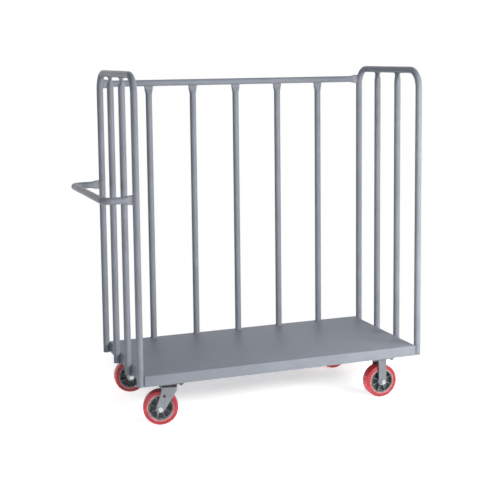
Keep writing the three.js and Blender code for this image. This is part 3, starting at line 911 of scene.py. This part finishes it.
def leg_outline(corners, axle, radius):
    """A leg's outline: its upper corners, and a round boss that its sides touch."""
    touches = []
    for corner, side in ((corners[-1], 1), (corners[0], -1)):
        away = corner - axle
        touches.append(atan2(away.y, away.x) + side * acos(radius / away.length))
    return corners + arc(axle.x, axle.y, radius, touches[0], touches[1] + FULL_TURN, BOSS_STEPS)


def fork_outline(casters):
    half, top = casters.crown_half, crown_top(casters)
    shoulder = top - casters.crown_gauge - casters.shoulder_drop
    corners = ((half, shoulder), (half, top), (-half, top), (-half, shoulder))
    axle = Vector((-casters.lead, axle_height(casters)))
    return leg_outline([Vector(corner) for corner in corners], axle, casters.boss_radius)


def bracket_outline(casters):
    half, top = casters.boss_radius, -casters.plate_gauge
    corners = [Vector((half, top)), Vector((-half, top))]
    return leg_outline(corners, Vector((0, axle_height(casters))), half)


def drill(radius, low, high, place=STAND_UP):
    return moved(lathe(band(0, radius, low, high), 32), place)


def across(x, z):
    return Matrix.Translation((x, 0, z))


def fork_mesh(casters, wheels):
    """A pressed fork: crown, rounded shoulders and two tapering legs."""
    top, axle, back = crown_top(casters), axle_height(casters), casters.lead
    reach = casters.leg_inner + casters.leg_depth
    outline = rounded_rectangle(2 * casters.crown_half, 2 * (reach - casters.leg_round), 0.002, 2)
    slab = slab_shell(outline, top - casters.crown_gauge, top, 0.0006, level, 2)
    crown = mesh_of("fork_crown", [slab])
    whole = combined("fork", crown, leg_shells(fork_outline(casters), casters), "UNION")
    lightening = across(casters.hole_shift - back, axle + casters.hole_rise)
    holes = [
        drill(casters.hole_radius, -2 * reach, 2 * reach, lightening),
        drill(wheels.axle + BORE_GAP, -2 * reach, 2 * reach, across(-back, axle)),
        drill(casters.kingpin_radius + BORE_GAP, top - THROUGH, top + THROUGH),
    ]
    return combined("fork", whole, holes, "DIFFERENCE")


def plate_blank(casters):
    outline = rounded_rectangle(casters.plate_length, casters.plate_width, casters.plate_corner)
    return mesh_of("plate", [slab_shell(outline, 0, -casters.plate_gauge, 0.0012, level, 3)])


def plate_mesh(casters):
    """A swivel caster's plate, countersunk for the kingpin's head."""
    sink = drill(casters.kingpin_head + 2 * BORE_GAP, -SINK_DEPTH, THROUGH)
    bore = drill(casters.kingpin_radius + FIT_GAP, -THROUGH, THROUGH)
    return combined("plate", plate_blank(casters), [sink, bore], "DIFFERENCE")


def bracket_mesh(casters, wheels):
    """A rigid bracket: a plate with two legs welded below it."""
    legs = leg_shells(bracket_outline(casters), casters)
    whole = combined("bracket", plate_blank(casters), legs, "UNION")
    bore = drill(wheels.axle + BORE_GAP, -0.1, 0.1, across(0, axle_height(casters)))
    return combined("bracket", whole, [bore], "DIFFERENCE")


def race_shells(casters):
    """The swivel race: a rolled cup over a rolled cone, with a groove for the balls."""
    low, radius = crown_top(casters), casters.race_radius
    inner = casters.kingpin_radius + 0.0012
    # (distance in from the race's radius, height above the crown)
    cone = [(0.001, 0), (0, 0.0012), (0, 0.0030), (0.0012, 0.0040), (0.006, 0.0042)]
    cup = [(0.006, 0.0042), (0.005, 0.0058), (0.0008, 0.0062), (0, 0.0072), (0.0006, 0.0086)]
    cup.append((0.003, casters.race_height))
    shells = []
    for part in (cone, cup):
        rim = [(radius - back, low + rise) for back, rise in part]
        profile = [(inner, rim[0][1])] + rim + [(inner, rim[-1][1])]
        shells.append(moved(lathe(profile[::-1], 72, closed=True), STAND_UP))
    return shells


def kingpin_shells(casters):
    """A kingpin: its countersunk head, shank and locknut."""
    nut_top = casters.crown_gauge + casters.gap - crown_top(casters)
    end = nut_top + casters.kingpin_nut
    head, pin, head_depth, bevel = casters.kingpin_head, casters.kingpin_radius, 0.003, 0.0008
    profile = [(0, 0), (head * 0.8, 0), (head, bevel), (head, head_depth), (pin, head_depth)]
    profile += [(pin, end - bevel), (pin - bevel, end), (0, end)]
    shells = [lathe(profile, 40), hex_shell(casters.kingpin_flats, nut_top, end)]
    return [moved(shell, HANG_DOWN) for shell in shells]


def bolt_mesh(casters, sheet):
    """A caster bolt: head in the channel, washer and nut under the plate, and a threaded tail."""
    seat, plate, pin = sheet.channel_gauge, casters.plate_gauge, casters.bolt_radius
    under_washer = plate + casters.bolt_washer
    nut_end = plate + casters.bolt_nut
    shells = [
        hex_shell(casters.bolt_flats, -seat - casters.bolt_head, -seat),
        lathe(band(0, pin, -seat - OVERLAP, nut_end), 24),
        threaded_shell(pin, nut_end - OVERLAP, nut_end + casters.bolt_tail),
        lathe(band(pin, pin * WASHER_REACH, plate, under_washer)[::-1], 28, closed=True),
        hex_shell(casters.bolt_flats, under_washer, nut_end),
    ]
    return mesh_of("caster_bolt", [moved(shell, HANG_DOWN) for shell in shells])


def axle_shells(casters, wheels):
    """An axle bolt: its head at -Y, and a locknut with a nylon collar at +Y."""
    reach = casters.leg_inner + casters.leg_depth
    pin, flats, bevel = wheels.axle, wheels.axle_flats, 0.0012
    collar = flats * 0.43
    tip = reach + wheels.axle_nut
    start, collar_start, collar_end = -reach - OVERLAP, tip - 0.003, tip - 0.0002
    shank = [(0, start), (pin, start), (pin, tip - 0.001), (pin - bevel, tip), (0, tip)]
    ring = [(0, collar_start), (collar, collar_start), (collar, tip - 0.001)]
    ring += [(collar - bevel, collar_end), (0, collar_end)]
    head = hex_shell(flats, -reach - wheels.axle_head, -reach)
    nut = hex_shell(flats, reach, tip - 0.0018)
    return [head, lathe(shank, 32), nut, lathe(ring, 36)]


def bearing_shells(wheels):
    """A roller bearing's sleeve, end washers and housing."""
    end = wheels.hub_length / 2
    bore, housing = wheels.axle + FIT_GAP, wheels.bearing
    sleeve = bore + SLEEVE_WALL
    back, lip = end - 0.0022, end - 0.0006
    bevelled = both_sides([(bore, -end), (sleeve - 0.0004, -end), (sleeve, 0.0005 - end)])
    washers = band(sleeve + 0.0002, housing, -back, back)
    case = band(housing - CASE_WALL, housing, -lip, lip)
    return [lathe(part[::-1], 48, closed=True) for part in (bevelled, washers, case)]


def roller_shells(wheels):
    """One roller of a bearing, seen at both of its ends."""
    end, radius, bevel = wheels.hub_length / 2 - 0.0012, wheels.roller, 0.0003
    middle = (wheels.axle + FIT_GAP + SLEEVE_WALL + wheels.bearing - CASE_WALL) / 2
    profile = both_sides([(0, -end), (radius - bevel, -end), (radius, bevel - end)])
    return [moved(lathe(profile, 12), across(middle, 0))]


def ball_shells(casters):
    """One ball of a swivel race, in its place on the X axis."""
    radius = casters.ball
    ball = lathe([(radius * sin(turn), -radius * cos(turn)) for turn in sweep(HALF_TURN, 8)], 12)
    return [moved(ball, across(casters.race_radius - radius - BALL_INSET, 0))]


def core_shells(wheels):
    """A wheel core without its ribs: rim, web and hub, with moulded fillets."""
    rim_outer = wheels.radius - wheels.tread - FIT_GAP
    rim_inner = rim_outer - wheels.core_rim
    rim_edge, web, hub = wheels.core_width / 2, wheels.core_web / 2, wheels.hub_radius
    hub_end = wheels.hub_length / 2 - FIT_GAP
    fillet, soft, bevel = 0.003, 0.0009, 0.0012
    half = [(rim_outer, rim_edge - bevel), (rim_outer - bevel, rim_edge)]
    half += [(rim_inner + bevel, rim_edge), (rim_inner + 0.0002, rim_edge - 0.001)]
    half += [(rim_inner, web + fillet), (rim_inner - soft, web + soft), (rim_inner - fillet, web)]
    half += [(hub + fillet, web), (hub + soft, web + soft), (hub, web + fillet)]
    half += [(hub - 0.001, hub_end - bevel), (hub - 0.0022, hub_end)]
    half.append((wheels.bearing + FIT_GAP, hub_end))
    return [lathe(both_sides(half), wheels.facets, closed=True)]


def rib_shells(wheels):
    """One rib on both sides of the web, thinner at its edges than at its root."""
    start = wheels.bearing + 0.002
    end = wheels.radius - wheels.tread - wheels.core_rim + 0.001
    deep, root, soft = wheels.rib_depth / 2, wheels.rib / 2, 0.0008
    tip = root * 0.62
    quarter = [(root, 0), (tip, deep - soft), (tip - soft * 0.6, deep)]
    upper = quarter + [(-x, y) for x, y in reversed(quarter)]
    lower = [(x, -y) for x, y in reversed(upper) if y]
    rings = [[Vector((x, y, z)) for z, y in upper + lower] for x in (start, end)]
    return [skin(rings, capped=True)]


def tread_shells(wheels):
    """A tread with a slight crown, full shoulders and a moulded step on each side."""
    outer, half, soft = wheels.radius, wheels.width / 2, wheels.tread_round
    inner, shoulder = outer - wheels.tread, outer - TREAD_CROWN
    # (distance out from the tread's inside, distance in from its side)
    step = [(0, 0.0030), (0.0006, 0.0018), (0.0036, 0.0012), (0.0044, 0.0004), (0.006, 0)]
    profile = [(inner + out, half - back) for out, back in step]
    for swing in sweep(QUARTER_TURN, 8):
        profile.append((shoulder - soft * (1 - sin(swing)), half - soft * (1 - cos(swing))))
    profile += [(outer - 0.0001, half * 0.45), (outer, 0.0006)]
    return [lathe(both_sides(profile), wheels.facets, closed=True)]


def lip_highlight_shells(wheels):
    """A pale bead in the step at each side of a tread's inner edge: a painted highlight of its lip.
    """
    inner, half = wheels.radius - wheels.tread, wheels.width / 2
    # (distance out from the tread's inside, distance in from its side)
    bead = [(0.0002, 0.0026), (0.0006, 0.0010), (0.0018, 0.0004)]
    bead += [(0.0034, 0.0003), (0.0044, 0.0008), (0.0040, 0.0020)]
    profiles = [[(inner + out, side * (half - back)) for out, back in bead] for side in (1, -1)]
    return [lathe(profile, wheels.facets, closed=True) for profile in profiles]


# Places of the casters


def turned_place(name, place):
    """A place of the cart from which Y lies along a wheel's axle."""
    across_x, along_y, _ = spins[f"wheel_{name}"]["axis"]
    return Matrix.Translation(place) @ Matrix.Rotation(atan2(-across_x, along_y), 4, "Z")


# Operators, one for each group of pieces


class STOCKCART_OT_deck(bpy.types.Operator):
    """Makes the folded deck and the channels under it"""

    bl_idname = "stockcart.deck"
    bl_label = "Deck"

    def execute(self, context):
        sheet = context.scene.cart_sheet
        finish_piece("deck_sheet", pan_mesh(sheet), "deck_enamel", ["deck_pan"])
        for node in CHANNELS:
            mesh = mesh_of(f"{node}_sheet", [channel_shell(node, sheet)])
            finish_piece(f"{node}_sheet", mesh, "deck_enamel", [node])
        return {"FINISHED"}


class STOCKCART_OT_end_sides(bpy.types.Operator):
    """Makes the two end hoops and the bars inside them"""

    bl_idname = "stockcart.end_sides"
    bl_label = "End sides"

    def execute(self, context):
        tubes = context.scene.cart_tubes
        for side in ("left", "right"):
            foot, top = ends_of(f"end_hoop_{side}")
            front, rear = legs_of(f"end_hoop_{side}", tubes)
            bend = top.z - tubes.diameter / 2
            places = ((front, foot.z), (front, bend), (rear, bend), (rear, foot.z))
            corners = [Vector((foot.x, y, z)) for y, z in places]
            mesh = mesh_of("hoop", [u_tube(corners, tubes.hoop_bend, X, tubes)])
            finish_piece(f"hoop_{side}", mesh, "tube_enamel", [f"end_hoop_{side}"])
            for i in (1, 2):
                upright_bar(f"end_bar_{side}_{i}", f"bar_{side}_{i}", Y, tubes)
        return {"FINISHED"}


class STOCKCART_OT_back(bpy.types.Operator):
    """Makes the rail across the back and its bars"""

    bl_idname = "stockcart.back"
    bl_label = "Back"

    def execute(self, context):
        tubes = context.scene.cart_tubes
        start, end = ends_of("back_top_rail", 0)
        mesh = mesh_of("rail", [straight_tube(start, end, Z, tubes, (True, True))])
        finish_piece("rail_back", mesh, "tube_enamel", ["back_top_rail"])
        for i in BACK_BARS:
            upright_bar(f"back_bar_{i}", f"bar_back_{i}", X, tubes)
        return {"FINISHED"}


class STOCKCART_OT_handle(bpy.types.Operator):
    """Makes the push handle"""

    bl_idname = "stockcart.handle"
    bl_label = "Push handle"

    def execute(self, context):
        tubes = context.scene.cart_tubes
        left, right = ends_of("push_handle", 0)
        front, rear = legs_of("push_handle", tubes)
        grip = left.x + tubes.diameter / 2
        places = ((right.x, front), (grip, front), (grip, rear), (right.x, rear))
        corners = [Vector((x, y, right.z)) for x, y in places]
        mesh = mesh_of("handle", [u_tube(corners, tubes.handle_bend, Z, tubes, pressed=True)])
        finish_piece("handle_tube", mesh, "tube_enamel", ["push_handle"])
        return {"FINISHED"}


# How far a weld's path lies over or beside the faces that it joins
OVER_TIP, BESIDE_TIP, OFF_FLANGE, OFF_SHEET, FOOT_GAP = 0.0004, 0.0008, 0.0011, 0.0006, 0.001
WELD_LOW, WELD_HIGH = 0.004, 0.001  # from a flange's lower edge and its fold to a weld's ends


def path_mesh(name, paths):
    """Edges along each path of points."""
    points, edges = [], []
    for path in paths:
        edges += [(len(points) + i, len(points) + i + 1) for i in range(len(path) - 1)]
        points += path
    mesh = bpy.data.meshes.new(name)
    mesh.from_pydata([tuple(point) for point in points], edges, [])
    return mesh


def flat_tip_paths(tip, along, thin, tubes):
    """Two weld paths beside a pressed end, where it meets another tube."""
    half = pressed_half(tubes)
    reach = (tubes.diameter / 2 - half) * QUARTER_TURN + half * 0.5
    middles = [tip + thin * side * (half + BESIDE_TIP) for side in (1, -1)]
    return [[middle - along * reach, middle + along * reach] for middle in middles]


def foot_path(foot, radius):
    """A weld path round the foot of an upright bar."""
    turns = sweep(FULL_TURN, 24)
    return [foot + Vector((radius * cos(turn), radius * sin(turn), OFF_SHEET)) for turn in turns]


def stitch_paths(node, welds, sheet):
    """Stitch welds along both feet of a channel, against the deck's underside."""
    low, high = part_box(node)
    paths = []
    span = (high.y - low.y) / welds.stitches
    z = high.z - sheet.channel_gauge * 0.45
    for x in (low.x - OFF_SHEET, high.x + OFF_SHEET):
        for i in range(welds.stitches):
            start = Vector((x, low.y + span * (i + 0.5) - welds.stitch / 2, z))
            paths.append([start, start + Y * welds.stitch])
    return paths


class STOCKCART_OT_welds(bpy.types.Operator):
    """Makes the weld beads where tubes meet tubes and sheet"""

    bl_idname = "stockcart.welds"
    bl_label = "Welds"

    def execute(self, context):
        scene = context.scene
        tubes, welds, sheet = scene.cart_tubes, scene.cart_welds, scene.cart_sheet
        deck_low, deck_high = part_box("deck_pan")
        radius = tubes.diameter / 2
        groups = {f"welds_{place}": [] for place in ("left", "right", "back", "handle", "under")}
        for side, x in (("left", deck_low.x - OFF_FLANGE), ("right", deck_high.x + OFF_FLANGE)):
            paths = groups[f"welds_{side}"]
            places = [*legs_of(f"end_hoop_{side}", tubes)]
            for i in (1, 2):
                top = ends_of(f"end_bar_{side}_{i}")[1]
                places.append(top.y)
                paths += flat_tip_paths(top + Z * OVER_TIP, Y, X, tubes)
            ends = (deck_low.z + WELD_LOW, deck_high.z - sheet.fold - WELD_HIGH)
            for y in places:
                for aside in (-radius / 2, radius / 2):
                    paths.append([Vector((x, y + aside, z)) for z in ends])
        back = groups["welds_back"]
        for tip, lift in zip(ends_of("back_top_rail", 0), (-2 * OVER_TIP, 2 * OVER_TIP)):
            back += flat_tip_paths(tip + X * lift, Z, Y, tubes)
        for i in BACK_BARS:
            foot, top = ends_of(f"back_bar_{i}")
            back += flat_tip_paths(top + Z * OVER_TIP, X, Y, tubes)
            seat = Vector((foot.x, foot.y, deck_high.z))
            back.append(foot_path(seat, radius + FOOT_GAP))
        tip = ends_of("push_handle", 0)[1]
        for y in legs_of("push_handle", tubes):
            place = Vector((tip.x + OVER_TIP, y, tip.z))
            groups["welds_handle"] += flat_tip_paths(place, Z, Y, tubes)
        for node in CHANNELS:
            groups["welds_under"] += stitch_paths(node, welds, sheet)
        settings = {"Bead": welds.bead, "Ripple": welds.ripple}
        for name, paths in groups.items():
            mesh = grown(name, path_mesh(name, paths), "Weld bead", settings, "tube_enamel")
            finish_piece(name, mesh, "tube_enamel", sharp_degrees=60)
        return {"FINISHED"}


class STOCKCART_OT_plates(bpy.types.Operator):
    """Makes the swivel casters' plates and the rigid casters' brackets"""

    bl_idname = "stockcart.plates"
    bl_label = "Plates and brackets"

    def execute(self, context):
        casters, wheels = context.scene.cart_casters, context.scene.cart_wheels
        for name in SWIVELS:
            place = Matrix.Translation(ends_of(f"{name}_top_plate")[1])
            plate = carried(plate_mesh(casters), place)
            # the plates take the zinc darkened as painted shade
            finish_piece(f"{name}_plate", plate, "shade_darkened_plate", [f"{name}_top_plate"])
            pin = mesh_of("kingpin", kingpin_shells(casters), place)
            finish_piece(f"{name}_pin", pin, "bright_plate", [f"{name}_kingpin"])
        for name in RIGIDS:
            place = Matrix.Translation(ends_of(f"{name}_bracket")[1])
            bracket = carried(bracket_mesh(casters, wheels), place)
            finish_piece(f"{name}_legs", bracket, "zinc_plate", [f"{name}_bracket"])
        return {"FINISHED"}


class STOCKCART_OT_forks(bpy.types.Operator):
    """Makes the swivel casters' forks and ball races"""

    bl_idname = "stockcart.forks"
    bl_label = "Forks"

    def execute(self, context):
        casters, wheels = context.scene.cart_casters, context.scene.cart_wheels
        groove = Matrix.Translation((0, 0, crown_top(casters) + GROOVE_RISE)) @ STAND_UP
        for name in SWIVELS:
            place, body = turned_place(name, ends_of(f"{name}_top_plate")[1]), f"fork_{name}"
            fork = carried(fork_mesh(casters, wheels), place)
            finish_piece(f"{name}_fork_steel", fork, "zinc_plate", [f"{name}_fork"], body)
            race = mesh_of("race", race_shells(casters), place)
            # the race takes the zinc darkened as painted shade
            finish_piece(f"{name}_race", race, "shade_darkened_plate", [f"{name}_ball_race"], body)
            balls = ring_of("balls", ball_shells(casters), "bright_plate", casters.balls)
            finish_piece(f"{name}_balls", carried(balls, place @ groove), "bright_plate", body=body)
        return {"FINISHED"}


class STOCKCART_OT_wheels(bpy.types.Operator):
    """Makes the wheels: cores with their ribs, treads, bearings and axle bolts"""

    bl_idname = "stockcart.wheels"
    bl_label = "Wheels"

    def execute(self, context):
        casters, wheels = context.scene.cart_casters, context.scene.cart_wheels
        rib_angle = HALF_TURN / wheels.ribs
        for name in SWIVELS + RIGIDS:
            body = f"wheel_{name}"
            place = turned_place(name, spins[body]["pos_m"])
            held_by = f"fork_{name}" if name in SWIVELS else "chassis"
            ribs = ring_of("ribs", rib_shells(wheels), "dark_moulding", wheels.ribs, rib_angle)
            rollers = ring_of("rollers", roller_shells(wheels), "bright_plate", wheels.rollers)
            sleeve, bolt = bearing_shells(wheels), axle_shells(casters, wheels)
            for piece, mesh, finish, node, rides in (
                ("core", mesh_of("core", core_shells(wheels)), "dark_moulding", "wheel_core", body),
                ("ribs", ribs, "dark_moulding", None, body),
                ("tyre", mesh_of("tread", tread_shells(wheels)), "red_urethane", "tread", body),
                # a pale bead at each inner lip of the tread, a painted highlight
                ("bond", mesh_of("bead", lip_highlight_shells(wheels)), "lip_highlight_bead", None, body),
                ("sleeve", mesh_of("bearing", sleeve), "zinc_plate", "bearing", body),
                ("rollers", rollers, "bright_plate", None, body),
                ("axle_bolt", mesh_of("axle", bolt), "bright_plate", "axle", held_by),
            ):
                nodes = [f"{name}_{node}"] if node else []
                finish_piece(f"{name}_{piece}", carried(mesh, place), finish, nodes, rides)
        return {"FINISHED"}


class STOCKCART_OT_bolts(bpy.types.Operator):
    """Makes the bolts that hold the casters to the channels"""

    bl_idname = "stockcart.bolts"
    bl_label = "Caster bolts"

    def execute(self, context):
        casters, sheet = context.scene.cart_casters, context.scene.cart_sheet
        nodes = [f"{name}_bolt_{i}" for name in SWIVELS + RIGIDS for i in range(1, 5)]
        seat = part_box("front_right_bracket")[1].z
        feet = [ends_of(node)[0] for node in nodes]
        marks = path_mesh("bolt_marks", [[Vector((foot.x, foot.y, seat))] for foot in feet])
        template = set_down("bolt_template", bolt_mesh(casters, sheet))
        settings = {"Fastener": template}
        # the bolts take the zinc darkened as painted shade
        mesh = grown("caster_bolts", marks, "Fasteners on points", settings, "shade_darkened_plate")
        bpy.data.objects.remove(template)
        finish_piece("caster_bolts", mesh, "shade_darkened_plate", nodes, slot="bright_steel")
        return {"FINISHED"}


# The stage

WHITE = (1, 1, 1, 1)
SOFT_CORNER = 0.15
# Zones of the floor: centre, scale, and the distances at which a fade starts and ends
SHADOW_ZONE = ((0.15, 0.6), (1.0, 1.0), 0.45, 0.72)
WHITE_ZONE = ((0.2, 0.25), (1.15, 1.4), 0.78, 1.06)


def seen_directly(add):
    """1 for a camera, glossy or transmission ray, and 0 for the light that falls on things."""
    rays = add("ShaderNodeLightPath").outputs
    either = maths(add, "MAXIMUM", rays["Is Camera Ray"], rays["Is Glossy Ray"])
    return maths(add, "MAXIMUM", either, rays["Is Transmission Ray"])


def zone_fade(add, zone, to=(0, 1)):
    """A fade over the floor by the distance from a centre, measured as a box with soft corners."""
    centre, scale, start, end = zone
    shift = {"Location": (-centre[0] * scale[0], -centre[1] * scale[1], 0), "Scale": (*scale, 0)}
    where = add("ShaderNodeTexCoord").outputs["Object"]
    place = add("ShaderNodeMapping", {"Vector": where, **shift})
    positive = add("ShaderNodeVectorMath", {0: place}, operation="ABSOLUTE")
    parts = add("ShaderNodeSeparateXYZ", {"Vector": positive}).outputs
    distance = maths(add, "SMOOTH_MAX", parts["X"], parts["Y"], SOFT_CORNER)
    return ranged(add, distance, start, end, to, interpolation_type="SMOOTHSTEP")


def floor_finish(stage):
    """A pale floor that keeps the cart's shadow under it and is plain white away from it."""
    finish, add = blank(bpy.data.materials.new("pale_floor"))
    seen = seen_directly(add)
    under = zone_fade(add, SHADOW_ZONE, (stage.floor_white, stage.floor_rim))
    glow = add("ShaderNodeEmission", {"Strength": maths(add, "MULTIPLY", under, seen)})
    matt = add("ShaderNodeBsdfDiffuse", {"Color": (0.82, 0.82, 0.82, 1)})
    near = add("ShaderNodeAddShader", {0: matt, 1: glow})
    white = add("ShaderNodeEmission", {"Strength": 1.0})
    far = maths(add, "MULTIPLY", zone_fade(add, WHITE_ZONE), seen)
    ground = add("ShaderNodeMixShader", {0: far, 1: near, 2: white})
    add("ShaderNodeOutputMaterial", {"Surface": ground})
    return finish


def white_world(stage):
    """White to every ray that looks at it, and a dim tinted light on things."""
    world, add = blank(bpy.data.worlds.new("white_studio"))
    seen = seen_directly(add)
    strength = ranged(add, seen, 0, 1, (stage.ambient, 1))
    shade = blended(add, seen, solid(stage.sky_tint), WHITE)
    sky = add("ShaderNodeBackground", {"Color": shade, "Strength": strength})
    add("ShaderNodeOutputWorld", {"Surface": sky})
    return world


def softbox(name, place, target, width, power, gloss=False, tint=(1, 1, 1)):
    """A round lamp that shows only by what it lights; without gloss it leaves no glare."""
    lamp = bpy.data.lights.new(name, "AREA")
    lamp.shape = "DISK"
    lamp.size = width
    lamp.energy = power
    lamp.color = tint
    holder = set_down(name, lamp)
    holder.visible_camera = False
    holder.visible_glossy = gloss
    holder.location = place
    holder.rotation_euler = (Vector(target) - Vector(place)).to_track_quat("-Z", "Y").to_euler()
    return lamp


class STOCKCART_OT_stage(bpy.types.Operator):
    """Sets the floor, the lamps, the world and the camera"""

    bl_idname = "stockcart.stage"
    bl_label = "Stage"

    def execute(self, context):
        stage = context.scene.cart_stage
        disc = bmesh.new()
        bmesh.ops.create_circle(disc, cap_ends=True, radius=stage.floor_radius, segments=96)
        mesh = bpy.data.meshes.new("floor")
        disc.to_mesh(mesh)
        disc.free()
        mesh.materials.append(floor_finish(stage))
        set_down("floor", mesh)
        warm, cool = stage.key_tint, stage.sky_tint
        softbox("key_softbox", (1.4, -2.15, 0.95), (0.1, 0, 0.7), 1.0, stage.key_power, tint=warm)
        gloss = stage.gloss_power
        softbox("gloss_lamp", (0.65, -2.8, 1.25), (0.3, 0, 0.8), 0.22, gloss, gloss=True)
        softbox("side_softbox", (2.6, -2.4, 1.6), (0.1, 0, 0.6), 1.2, stage.side_power, tint=warm)
        softbox("left_softbox", (-2.6, -1.9, 0.5), (0, 0, 0.3), 0.6, stage.left_power)
        softbox("top_softbox", (0.2, -0.6, 3.6), (0, 0, 0.3), 1.6, stage.top_power, tint=cool)
        softbox("back_softbox", (1.4, 3.8, 0.45), (0, 0, 0.7), 1.2, stage.back_power)
        strip_line = (-2.2, -0.5, 0.06), (0.56, -0.18, 0.06)
        strip = softbox("wheel_strip", *strip_line, 1.6, stage.strip_power)
        strip.shape = "RECTANGLE"
        strip.size_y = stage.strip_height
        strip.spread = stage.strip_spread
        context.scene.world = white_world(stage)
        context.scene.view_settings.view_transform = "Standard"

        camera = bpy.data.cameras.new("camera")
        camera.sensor_width = 36
        camera.lens = stage.lens
        camera.shift_y = stage.rise
        holder = set_down("camera", camera)
        place = Matrix.Translation((stage.camera_x, stage.camera_y, stage.camera_z))
        turned = Matrix.Rotation(-stage.turn, 4, "Z")
        dipped = Matrix.Rotation(QUARTER_TURN - stage.dip, 4, "X")
        rolled = Matrix.Rotation(stage.roll, 4, "Z")
        holder.matrix_world = place @ (turned @ dipped) @ rolled
        context.scene.camera = holder
        return {"FINISHED"}


class STOCKCART_PT_panel(bpy.types.Panel):
    """Lists the cart's pieces and settings"""

    bl_idname = "STOCKCART_PT_panel"
    bl_label = "Stock Cart"
    bl_space_type = "VIEW_3D"
    bl_region_type = "UI"
    bl_category = "Stock Cart"

    def draw(self, context):
        for step in STEPS:
            self.layout.operator(step.bl_idname)
        for name, group in SETTINGS.items():
            box = self.layout.box()
            box.label(text=name.removeprefix("cart_").capitalize())
            for key in group.__annotations__:
                box.prop(getattr(context.scene, name), key)


STEPS = (
    STOCKCART_OT_deck,
    STOCKCART_OT_end_sides,
    STOCKCART_OT_back,
    STOCKCART_OT_handle,
    STOCKCART_OT_welds,
    STOCKCART_OT_plates,
    STOCKCART_OT_forks,
    STOCKCART_OT_wheels,
    STOCKCART_OT_bolts,
    STOCKCART_OT_stage,
)

SETTINGS = {
    "cart_tubes": CartTubes,
    "cart_sheet": CartSheet,
    "cart_welds": CartWelds,
    "cart_casters": CartCasters,
    "cart_wheels": CartWheels,
    "cart_finishes": CartFinishes,
    "cart_stage": CartStage,
}


def register():
    for name, group in SETTINGS.items():
        bpy.utils.register_class(group)
        setattr(bpy.types.Scene, name, PointerProperty(type=group))
    for step in (*STEPS, STOCKCART_PT_panel):
        bpy.utils.register_class(step)


def unregister():
    for step in (STOCKCART_PT_panel, *reversed(STEPS)):
        bpy.utils.unregister_class(step)
    for name, group in reversed(SETTINGS.items()):
        delattr(bpy.types.Scene, name)
        bpy.utils.unregister_class(group)


def main():
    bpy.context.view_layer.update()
    register()
    for step in STEPS:
        getattr(bpy.ops.stockcart, step.bl_idname.split(".")[1])()


if __name__ == "__main__":
    main()
